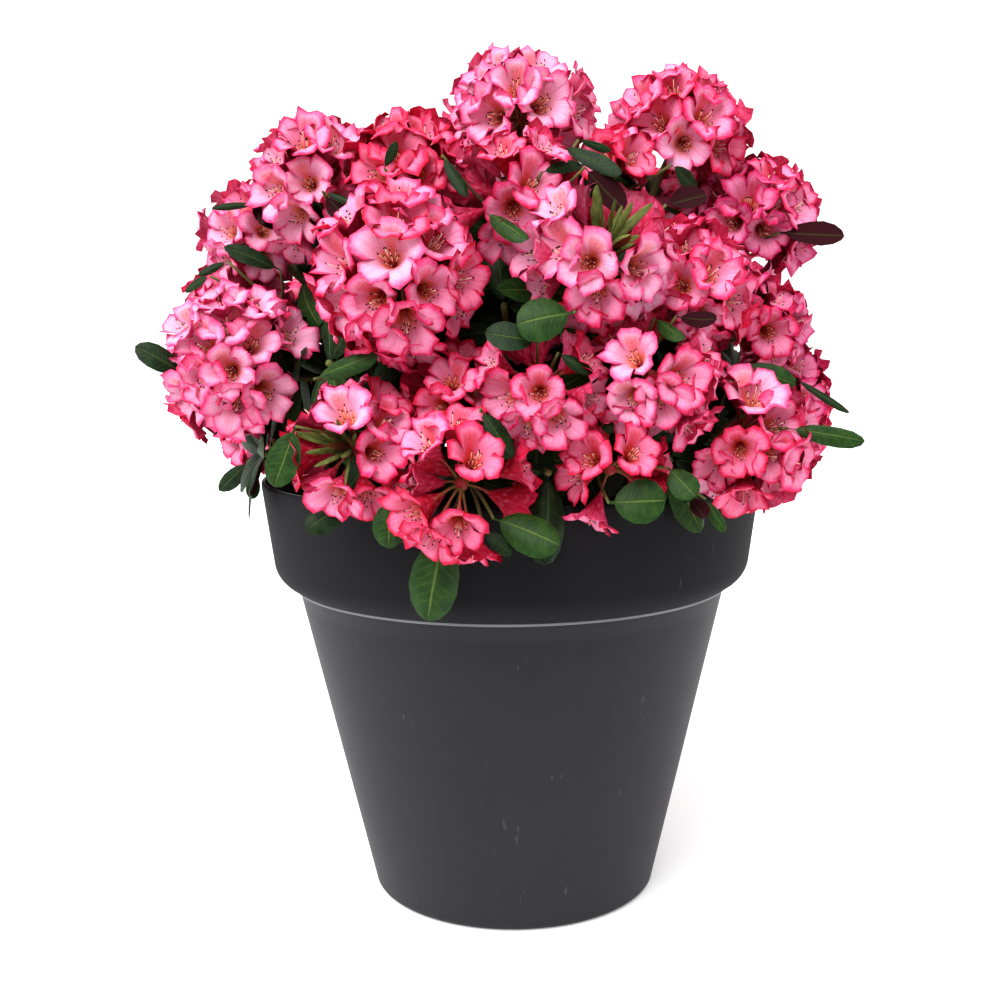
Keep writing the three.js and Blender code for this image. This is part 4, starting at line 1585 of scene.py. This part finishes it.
@dataclass
class FlowerHeads:
    """Every flower of the crown on its stalk, in four tints."""

    crown: Crown
    mouth_at: float = 0.875
    mouth_radius: float = 0.0125
    mouth_sides: int = 8
    pot_gap: float = 0.012
    behind_mouth: float = 0.006
    leaf_room: float = 0.0115
    wide_leaf_room: float = 12.0
    least_scale: float = 0.5
    squeeze: float = 0.65
    least_apart: float = 0.0172
    usual_head: float = 0.055
    widths: tuple = (0.88, 1.05)
    width_uneven: float = 0.08
    least_narrowing: float = 0.84
    twist: float = 0.5
    first_tint_below: float = 0.18
    second_tint_above: float = 0.84
    spread: float = 110.0
    room: float = 0.00064
    wander: float = 0.18
    uneven: float = 0.11
    stalk_start: float = 0.003
    stalk_overlap: float = 0.0012
    stalk_bow: float = 0.0025
    stalk_radii: tuple = (0.0011, 0.0009, 0.0009, 0.0011, 0.0021)
    knob_low: float = 0.007
    knob_high: float = 0.006
    knob_radii: tuple = (0.0026, 0.0044, 0.0052, 0.0044, 0.0022)
    pot: PotRoom = PotRoom(inner=0.188, outer=0.204, rim=0.343, soil_top=0.303)
    filament: StalkFinish = StalkFinish(
        "filament", tinted(236, 168, 142), tinted(250, 214, 190), 0.5
    )
    anther: StalkFinish = StalkFinish("anther", tinted(40, 12, 18), tinted(66, 24, 26), 0.7)
    pedicel: StalkFinish = StalkFinish(
        "flower_stalk", tinted(128, 122, 62), tinted(168, 52, 62), 0.55
    )

    def __post_init__(self) -> None:
        """Settles every flower's place, direction, size and tint."""
        self._stand_flowers()

    def _spirals(self) -> tuple[Array, Array, Array]:
        """Directions on a golden spiral down each head, whose cosine falls by equal steps.

        Returns:
            The head of each flower, its number in the head, and its angle from the head's axis.
        """
        heads, numbers, leans = [], [], []
        for head, row in enumerate(self.crown.rows):
            if row.habit is Habit.LEAFY:
                continue
            radius = self.mouth_at * self.crown.size[head]
            step = self.room / (FULL_TURN * radius**2)
            most = (1 - math.cos(math.radians(self.spread))) / step
            number = np.arange(int(most))
            lean = np.arccos(1 - (number + 0.5) * step)
            keep = lean > math.radians(row.habit.bare_angle)
            heads.append(np.full(keep.sum(), head))
            numbers.append(number[keep])
            leans.append(lean[keep])
        return np.concatenate(heads), np.concatenate(numbers), np.concatenate(leans)

    def _stand_flowers(self) -> None:
        """Flowers round each head's heart, drawn in by its cell, and thinned between heads."""
        crown = self.crown
        heads, spot, lean = self._spirals()
        way = leaning(crown.axis[heads], lean, crown.turn[heads] + spot * GOLDEN_ANGLE)
        wander = [either(heads * 7, spot + 200 * k, self.wander) for k in range(3)]
        way = unit(way + np.stack(wander, axis=-1))
        size = crown.size[heads]
        reach = self.mouth_at * size * (1 + either(heads, spot + 50, self.uneven))
        width = np.clip(np.sqrt(size / self.usual_head), *self.widths)
        width = width * (1 + either(heads, spot + 90, self.width_uneven))
        across, beside = square_to(way)
        angle = spokes(self.mouth_sides)
        ring = across[:, None] * np.cos(angle)[:, None] + beside[:, None] * np.sin(angle)[:, None]
        wide = (self.mouth_radius * width)[:, None, None]
        scale = crown.fit(heads, way[:, None] * reach[:, None, None] + ring * wide)
        place = crown.centre[heads] + way * (reach * scale**self.squeeze)[:, None]
        fits = (scale > self.least_scale) & ~self.pot.met(place[:, None] + ring * self.pot_gap)
        fits &= self._clear_of_leaves(place - way * self.behind_mouth)
        kept = self._apart(place, np.where(fits, scale, 0))
        self.head, self.spot, self.way = heads[kept], spot[kept], way[kept]
        self.width = (width * np.clip(scale, self.least_narrowing, 1) ** 0.5)[kept]
        self.mouth = place[kept]
        self.tint = self._deal_tints()

    def _apart(self, place: Array, scale: Array) -> Array:
        """Numbers of the flowers to keep, the least drawn in first, none too near another."""
        kept: list[int] = []
        for number in np.argsort(-scale, kind="stable"):
            if scale[number] <= 0:
                break
            away = np.linalg.norm(place[kept] - place[number], axis=-1)
            if np.all(away >= self.least_apart):
                kept.append(int(number))
        return np.sort(kept)

    def _clear_of_leaves(self, places: Array) -> Array:
        """True where a flower keeps off every own leaf, taken as five balls along it."""
        along = self.crown.along_leaves(0.2, 5)
        width = np.array([leaf.width for leaf in self.crown.own_leaves]) * MM
        away = np.linalg.norm(places[:, None, None] - along[None], axis=-1)
        return np.all(away > self.leaf_room + width**2 * self.wide_leaf_room, axis=(1, 2))

    def _deal_tints(self) -> Array:
        """Each flower takes its head's tint, or now and then one that goes with it."""
        order = list(Tint)
        dealt = [(row.tint, *TINTS_BESIDE[row.tint]) for row in self.crown.rows]
        numbers = np.array([[order.index(tint) for tint in tints] for tints in dealt])
        main, first, second = numbers[self.head].T
        draw = chance(self.head + 3, self.spot + 5)
        rarely = np.where(draw > self.second_tint_above, second, main)
        return np.where(draw < self.first_tint_below, first, rarely)

    def _frames(self) -> tuple[Array, Array]:
        """The base of each corolla, and its directions, the first towards the upper lobe."""
        twist = either(self.head + 1, self.spot + 31, self.twist)
        up, beside = turned_about(self.way, twist)
        base = self.mouth - self.way * (Corolla.mouth_height * self.width)[:, None]
        return base, np.stack([up, beside, self.way], axis=1)

    def build(self) -> list[bpy.types.Object]:
        """Corollas by tint, stamens, flower stalks."""
        corolla = Corolla()
        shape = corolla.surface()
        shapes = corolla.points().reshape(corolla.shapes, -1, 3)
        base, frames = self._frames()
        pick = drawn(self.head + 11, self.spot + 71, corolla.shapes)
        placed = set_out(shapes[pick] * self.width[:, None, None], frames, base)
        pieces = []
        for number, tint in enumerate(Tint):
            own = shape.repeated(placed[self.tint == number])
            pieces.append(own.piece(f"blossom_{tint.value}", "blossom", PETALS[tint].material()))
        pieces += self._stamens(base, frames)
        pieces.append(self._stalks(base))
        for piece in pieces:
            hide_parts(*self.crown.mass_nodes())
        LOG.info("%d flowers", len(self.head))
        return pieces

    def _stamens(self, base: Array, frames: Array) -> list[bpy.types.Object]:
        """The filaments with the style, and the anthers, of every flower."""
        stamens = Stamens()
        pick = drawn(self.head + 17, self.spot + 41, stamens.shapes)
        pieces = []
        kinds = zip(("filaments", "anthers"), (self.filament, self.anther), stamens.build())
        for name, finish, (shape, shapes) in kinds:
            placed = set_out(shapes[pick] * self.width[:, None, None], frames, base)
            pieces.append(shape.repeated(placed).piece(name, "blossom", finish.material()))
        return pieces

    def _stalks(self, base: Array) -> bpy.types.Object:
        """A bowed stalk from each head's heart to each flower, widening to a small cup."""
        centre = self.crown.centre[self.head]
        start = centre + self.way * self.stalk_start
        end = base + self.way * self.stalk_overlap
        knee = (start + end) / 2 + np.array([0, 0, self.stalk_bow])
        paths = bend(start, knee, end, len(self.stalk_radii) - 1)
        hearts = np.flatnonzero([row.habit is not Habit.LEAFY for row in self.crown.rows])
        low = self.crown.centre[hearts] - self.crown.axis[hearts] * self.knob_low
        high = self.crown.centre[hearts] + self.crown.axis[hearts] * self.knob_high
        knobs = bend(low, (low + high) / 2, high, len(self.knob_radii) - 1)
        thin = np.tile(self.stalk_radii, (len(paths), 1))
        thick = np.tile(self.knob_radii, (len(knobs), 1))
        shape = Surface.joined([tubes(paths, thin, 5), tubes(knobs, thick, 8)])
        return shape.piece("flower_stalks", "blossom", self.pedicel.material())


# ---- Leaves --------------------------------------------------------------------------------------


@dataclass
class LeafBlade:
    """A leathery leaf one unit long, along x, with its face towards z, in several shapes."""

    shapes: int = 8
    rows: int = 10
    columns: int = 5
    half_width: float = 0.215
    stalk: float = 0.10
    keel: float = 0.30
    thickness: float = 0.008
    under_columns: int = 3
    tip_from: float = 0.999
    stalk_width: float = 0.014
    droop: tuple = (0.02, 0.24)
    sway: tuple = (-0.06, 0.06)
    twist: tuple = (-0.35, 0.35)
    recurve: tuple = (0.25, 0.75)
    wave: float = 0.010
    wave_run: float = 11

    def _along(self) -> Array:
        """Shares of the length: two at the stalk, then ones that crowd towards both ends."""
        crowded = (1 - np.cos(np.linspace(0, math.pi, self.rows - 2))) / 2
        return np.concatenate([[0, 0.6 * self.stalk], self.stalk + (1 - self.stalk) * crowded])

    def _width(self, along: Array) -> Array:
        """Half the blade's width: a slim stalk, then a long oval widest past the middle."""
        q = np.clip((along - self.stalk) / (1 - self.stalk), 0, 1)
        oval = (4 * q * (1 - q)) ** 0.55 * (0.90 + 0.20 * q)
        least = np.where(along < self.tip_from, self.stalk_width, 0.0)
        return np.maximum(self.half_width * oval, least)

    def points(self) -> Array:
        """Every shape's points, the upper sheet's and then the lower sheet's, (shapes, points, 3).

        Height is keel w |a| - recurve w a^4 - droop x^2 with a across from -1 to 1. The whole leaf
        also sways sideways and twists.
        """
        rng = np.random.default_rng(SEED + 2)
        some = (self.shapes, 1, 1)
        drawn_from = (self.droop, self.sway, self.twist, self.recurve)
        droop, sway, twist, recurve = [rng.uniform(*ends, some) for ends in drawn_from]
        wobble = rng.uniform(0, FULL_TURN, some)
        x = self._along()[None, :, None]
        width = self._width(x)
        sheets = []
        for columns, under in ((self.columns, 0.0), (self.under_columns, self.thickness)):
            a = np.linspace(-1, 1, columns)[None, None, :]
            side = width * a
            ripple = self.wave * np.sin(x * self.wave_run + wobble) * a
            rise = width * (self.keel * np.abs(a) - recurve * a**4) + ripple
            rise = rise - under * (1 - np.abs(a))
            tilt = twist * x
            y = side * np.cos(tilt) - rise * np.sin(tilt) + sway * x**2
            z = side * np.sin(tilt) + rise * np.cos(tilt) - droop * x**2
            sheet = np.stack(np.broadcast_arrays(x * (1 - 0.3 * droop * x), y, z), axis=-1)
            sheets.append(sheet.reshape(self.shapes, -1, 3))
        return np.concatenate(sheets, axis=1)

    def surface(self) -> Surface:
        """The faces of one leaf: the upper sheet on the left tile, the lower one on the right."""
        along = 0.01 + 0.98 * self._along()
        sheets = []
        for columns, tile in ((self.columns, 0), (self.under_columns, 1)):
            v, u = np.meshgrid(along, np.linspace(0.02, 0.98, columns), indexing="ij")
            pattern = np.stack([(tile + u) / 2, v], axis=-1)
            blank = np.zeros((self.rows, columns, 3))
            sheets.append(Surface.grid(blank, pattern, flip=tile == 0))
        return Surface.joined(sheets)


@dataclass(frozen=True)
class Whorl:
    """A ring of leaves: their number, length, share of the way up the twig, and lifts to try."""

    count: int
    length: float
    at: float
    lifts: tuple[float, ...]


@dataclass
class Foliage:
    """Every leaf: whorls by the part's rule, leaves on finer inner twigs, and young shoots."""

    crown: Crown
    flowers: FlowerHeads
    sway: float = 0.12
    sizes: tuple[float, ...] = (1.0, 0.84, 0.7)
    most_overlap: float = 0.006
    under_canopy: float = 0.015
    skirt_top: float = 0.362
    own_leaf_room: float = 0.034
    pot: PotRoom = PotRoom(inner=0.186, outer=0.205, rim=0.345, soil_top=0.306)
    flowering: tuple[Whorl, ...] = (
        Whorl(6, 0.069, 2 / 3, (4, -12, 20, 34)),
        Whorl(5, 0.067, 1 / 3, (4, 26, 46, -10)),
    )
    leafy: tuple[Whorl, ...] = (
        Whorl(7, 0.058, 0.97, (26, 44, 10)),
        Whorl(5, 0.058, 0.6, (10, 30, -10)),
    )
    tested: tuple = (0.35, 1.0, 6)
    later_choice: float = 0.0006
    flower_ball: float = 0.0150
    canopy_flowers: int = 4
    fresh_above: float = 0.8
    own_front: tuple = (0.1, -1.0, 0.45)
    shoot_leaves: int = 13
    shoot_lean: float = 6
    shoot_splay: float = 30
    shoot_sway: float = 7
    shoot_turn: float = 2.4
    shoot_length: float = 0.92
    shoot_shorter: float = 0.30
    shoot_width: float = 0.26
    shoot_keel: float = 0.7
    shoot_foot: float = 0.004

    def _whorls(self) -> None:
        """Whorls on every twig. A leaf takes the size and lift at which it meets the least."""
        crown = self.crown
        roots, ways, faces, lengths, seeds = [], [], [], [], []
        for head, row in enumerate(crown.rows):
            rings = self.leafy if row.habit is Habit.LEAFY else self.flowering
            for level, ring in enumerate(rings):
                number = np.arange(ring.count)
                seed = number + 20 * level
                turn = crown.turn[head] + (number + level / 2) * FULL_TURN / ring.count
                turn = turn + either(crown.key[head], seed, self.sway)
                full = ring.length * (1 + either(crown.key[head], seed + 100, self.sway))
                base = crown.twig(np.array([head]), ring.at)[0]
                best, cost = self._choose(head, base, turn, full, ring.lifts)
                keep = cost < self.most_overlap
                roots.append(np.repeat(base[None], keep.sum(), axis=0))
                for kept, found in zip((ways, faces, lengths), best):
                    kept.append(found[keep])
                seeds.append((seed + 1000 * head)[keep])
        self.root, self.way, self.face = (np.concatenate(found) for found in (roots, ways, faces))
        self.length, self.seed = np.concatenate(lengths), np.concatenate(seeds)

    def _choose(
        self, head: int, base: Array, turn: Array, full: Array, lifts: tuple
    ) -> tuple[tuple, Array]:
        """The best way, face and length for each leaf of a ring, and what it still meets.

        Args:
            head: The head's number.
            base: The ring's place on the twig.
            turn: Each leaf's turn round the head's axis.
            full: Each leaf's full length.
            lifts: Angles outwards from square to the twig, in degrees.

        Returns:
            The ways, faces and lengths, and the costs in metres.
        """
        crown = self.crown
        options = np.array([(size, lift) for size in self.sizes for lift in lifts])
        size = options[:, 0] * np.ones((len(turn), 1))
        lift = np.radians(options[:, 1]) * np.ones((len(turn), 1))
        axis = np.broadcast_to(crown.axis[head], (*size.shape, 3))
        way = leaning(axis, math.pi / 2 - lift, turn[:, None] * np.ones_like(size))
        face = unit(axis - way * dot(axis, way))
        length = full[:, None] * size
        spots = np.linspace(*self.tested)
        places = base + way[..., None, :] * (length[..., None] * spots)[..., None]
        flat = places.reshape(-1, len(spots), 3)
        beyond = crown.outside_share(np.full(len(flat), head), flat).max(axis=-1)
        hits = self.flowers_met(flat)
        out = self._past_canopy(flat) + self._own_leaf_met(flat)
        cost = (beyond + hits + out + self.pot.met(flat)).reshape(size.shape)
        order = np.arange(len(options)) * self.later_choice
        pick = np.argmin(cost + order, axis=1)
        rows = np.arange(len(turn))
        return (way[rows, pick], face[rows, pick], length[rows, pick]), cost[rows, pick]

    def flowers_met(self, places: Array) -> Array:
        """The deepest that each set of places goes into a flower, a ball behind its mouth."""
        flowers = self.flowers
        ball = flowers.mouth - flowers.way * flowers.behind_mouth
        away = np.linalg.norm(places[:, :, None] - ball[None, None], axis=-1)
        return np.maximum(self.flower_ball - away, 0).max(axis=(1, 2))

    def _past_canopy(self, places: Array) -> Array:
        """How far each set of places comes out, from the heart, past where flowers hide it."""
        heart = np.array([0.0, 0.0, self.crown.heart_height])
        flowers, far = self.flowers.mouth - heart, places - heart
        aim = np.einsum("npi,fi->npf", unit(far), unit(flowers))
        near = np.argpartition(-aim, self.canopy_flowers, axis=-1)[..., : self.canopy_flowers]
        canopy = np.linalg.norm(flowers, axis=-1)[near].mean(axis=-1)
        over = np.linalg.norm(far, axis=-1) - canopy + self.under_canopy
        return np.where(places[..., 2] > self.skirt_top, np.maximum(over, 0), 0).max(axis=-1)

    def _own_leaf_met(self, places: Array) -> Array:
        """The deepest that each set of places comes to an own leaf, taken as balls along it."""
        along = self.crown.along_leaves(0.1, 6).reshape(-1, 3)
        away = np.linalg.norm(places[:, :, None] - along, axis=-1)
        return np.maximum(self.own_leaf_room - away, 0).max(axis=(1, 2))

    def build(self) -> list[bpy.types.Object]:
        """Leaves in the deep green of painted shade and in fresh green, and the young shoots at the
        open hearts.
        """
        self._whorls()
        crown = self.crown
        blade = LeafBlade()
        shape, shapes = blade.surface(), blade.points()
        side = np.cross(self.face, self.way)
        frames = np.stack([self.way, side, self.face], axis=1)
        pick = drawn(self.seed, 3, blade.shapes)
        placed = set_out(shapes[pick] * self.length[:, None, None], frames, self.root)
        own_fresh = [leaf.green is Green.FRESH for leaf in crown.own_leaves]
        # Whorl leaves mostly take the deep green of painted shade; own leaves take the green listed
        # for them.
        fresh = np.concatenate([chance(self.seed, 9) > self.fresh_above, own_fresh])
        placed = np.concatenate([placed, self._own_leaves(shapes)])
        pieces = []
        for green, own in ((Green.DEEP_SHADE, ~fresh), (Green.FRESH, fresh)):
            leaves = shape.repeated(placed[own])
            pieces.append(leaves.piece(f"leaves_{green.value}", "leaf", GREENS[green].material()))
        pieces.append(self._shoots(blade))
        for piece in pieces:
            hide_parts(*crown.mass_nodes())
        LOG.info("%d leaves", len(placed))
        return pieces

    def _own_leaves(self, shapes: Array) -> Array:
        """Each own leaf's points: its length and width as told, its face or back to the front."""
        crown = self.crown
        run = crown.leaf_tip - crown.leaf_base
        length = np.linalg.norm(run, axis=-1)
        way = run / length[:, None]
        side = np.where([[leaf.shows_back] for leaf in crown.own_leaves], -1.0, 1.0)
        front = side * np.array(self.own_front)
        face = unit(front - way * dot(front, way))
        width = np.array([leaf.width for leaf in crown.own_leaves]) * MM
        wide = (width / (2 * LeafBlade.half_width))[:, None]
        long = length[:, None]
        deep = face * (long + wide) / 2
        frames = np.stack([way * long, np.cross(face, way) * wide, deep], axis=1)
        pick = np.arange(len(width)) % len(shapes)
        return set_out(shapes[pick], frames, crown.leaf_base)

    def _shoots(self, blade: LeafBlade) -> bpy.types.Object:
        """A tuft of narrow young leaves at the heart of each shoot."""
        crown = self.crown
        hearts = np.flatnonzero([row.habit is Habit.SHOOT for row in crown.rows])
        head = np.repeat(hearts, self.shoot_leaves)
        number = np.tile(np.arange(self.shoot_leaves), len(hearts))
        splay = self.shoot_splay * (number / self.shoot_leaves)
        lean = np.radians(self.shoot_lean + splay + either(head, number, self.shoot_sway))
        way = leaning(crown.axis[head], lean, number * self.shoot_turn)
        face = unit(crown.axis[head] - way * dot(crown.axis[head], way))
        shorter = self.shoot_shorter * chance(head, number + 4)
        length = crown.size[head] * (self.shoot_length - shorter)
        side = self.shoot_width * np.cross(face, way)
        frames = np.stack([way, side, self.shoot_keel * face], axis=1)
        pick = drawn(head, number + 9, blade.shapes)
        root = crown.centre[head] + crown.axis[head] * self.shoot_foot
        placed = set_out(blade.points()[pick] * length[:, None, None], frames, root)
        tufts = blade.surface().repeated(placed)
        return tufts.piece("young_shoots", "leaf", GREENS[Green.YOUNG].material())


# ---- Studio --------------------------------------------------------------------------------------


@dataclass
class Studio:
    """A plain pale floor, soft light from above, in front and to the left, and the camera."""

    camera_place: tuple = (0.0, -1.06813, 0.46577)
    pitch: float = 0.1378
    roll: float = -0.0112
    yaw: float = -0.0081
    focal: float = 1.31798
    sensor: float = 36.0
    floor_side: float = 4.0
    floor_front: float = -0.62
    floor_back: float = 9.0
    floor_glow: float = 0.22
    floor_rough: float = 0.9
    sun_from: tuple = (-0.46, -0.74, 1.0)
    sun_power: float = 3.3
    sun_width: float = 55.0
    backdrop: float = 1.1
    sky_front: float = 0.50
    sky_back: float = 0.95
    sky_run: tuple = (-0.8, 0.5)
    floor_colours: tuple = ((0.90, 0.90, 0.90, 1), (0.93, 0.93, 0.93, 1))

    def _floor(self) -> None:
        """One pale sheet under the pot."""
        side, front, back = self.floor_side, self.floor_front, self.floor_back
        corners = np.array([(-side, front, 0), (side, front, 0), (side, back, 0), (-side, back, 0)])
        mesh = bpy.data.meshes.new("floor")
        mesh.from_pydata(corners.tolist(), [], [(0, 1, 2, 3)])
        tree = Tree("pale_floor")
        grain = tree.noise(tree.here(), 3.0)
        colour = tree.mix(grain, *self.floor_colours)
        mesh.materials.append(tree.finish(colour, self.floor_rough, glow=self.floor_glow))
        floor = bpy.data.objects.new("floor", mesh)
        bpy.context.scene.collection.objects.link(floor)

    def _sun(self) -> None:
        """A very broad overhead light, as from a large soft box."""
        data = bpy.data.lights.new("soft_box", "SUN")
        data.angle = math.radians(self.sun_width)
        data.energy = self.sun_power
        lamp = bpy.data.objects.new("soft_box", data)
        lamp.rotation_euler = (-Vector(self.sun_from)).to_track_quat("-Z", "Y").to_euler()
        bpy.context.scene.collection.objects.link(lamp)

    def _sky(self) -> None:
        """White walls, dimmer on the side that the plant faces, before a white backdrop."""
        world = bpy.data.worlds.new("sky")
        world.use_nodes = True
        nodes, links = world.node_tree.nodes, world.node_tree.links
        place = nodes.new("ShaderNodeTexCoord")
        parts = nodes.new("ShaderNodeSeparateXYZ")
        depth = nodes.new("ShaderNodeMapRange")
        depth.interpolation_type = "SMOOTHSTEP"
        for key, value in enumerate((*self.sky_run, self.sky_front, self.sky_back), start=1):
            depth.inputs[key].default_value = value
        seen = nodes.new("ShaderNodeLightPath")
        mix = nodes.new("ShaderNodeMix")
        mix.inputs[3].default_value = self.backdrop
        links.new(place.outputs["Generated"], parts.inputs[0])
        links.new(parts.outputs[1], depth.inputs[0])
        links.new(depth.outputs[0], mix.inputs[2])
        links.new(seen.outputs["Is Camera Ray"], mix.inputs[0])
        links.new(mix.outputs[0], nodes["Background"].inputs["Strength"])
        nodes["Background"].inputs["Color"].default_value = (1, 1, 1, 1)
        bpy.context.scene.world = world

    def _camera(self) -> None:
        """The camera's axes from its pitch, yaw and roll."""
        flat = math.cos(self.pitch)
        ahead = (math.sin(self.yaw) * flat, math.cos(self.yaw) * flat, -math.sin(self.pitch))
        forward = Vector(ahead)
        right = forward.cross(Vector((0, 0, 1))).normalized()
        up = right.cross(forward)
        x_axis = right * math.cos(self.roll) + up * math.sin(self.roll)
        y_axis = up * math.cos(self.roll) - right * math.sin(self.roll)
        data = bpy.data.cameras.new("camera")
        data.sensor_width = self.sensor
        data.lens = self.focal * self.sensor
        camera = bpy.data.objects.new("camera", data)
        turned = Matrix((x_axis, y_axis, -forward)).transposed().to_4x4()
        turned.translation = Vector(self.camera_place)
        camera.matrix_world = turned
        bpy.context.scene.collection.objects.link(camera)
        bpy.context.scene.camera = camera

    def build(self) -> None:
        """Floor, sky, lamps and camera."""
        scene = bpy.context.scene
        self._floor()
        self._sky()
        self._sun()
        self._camera()
        scene.view_settings.view_transform = "Standard"
        scene.view_settings.look = "Medium High Contrast"
        LOG.info("studio ready")


def write_sizes() -> None:
    """Brings the scene's placements up to date."""
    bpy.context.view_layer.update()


def main() -> None:
    """Builds the plant piece by piece, then its studio."""
    logging.basicConfig(level=logging.INFO, format="%(message)s")
    crown = Crown(FRONT_BOUGHS + tuple(rear_bough(k) for k in range(REAR_COUNT)), OWN_LEAVES)
    PotShell().build()
    PottingSoil().build()
    WoodyFrame(crown).build()
    flowers = FlowerHeads(crown)
    flowers.build()
    Foliage(crown, flowers).build()
    Studio().build()
    write_sizes()


if __name__ == "__main__":
    main()
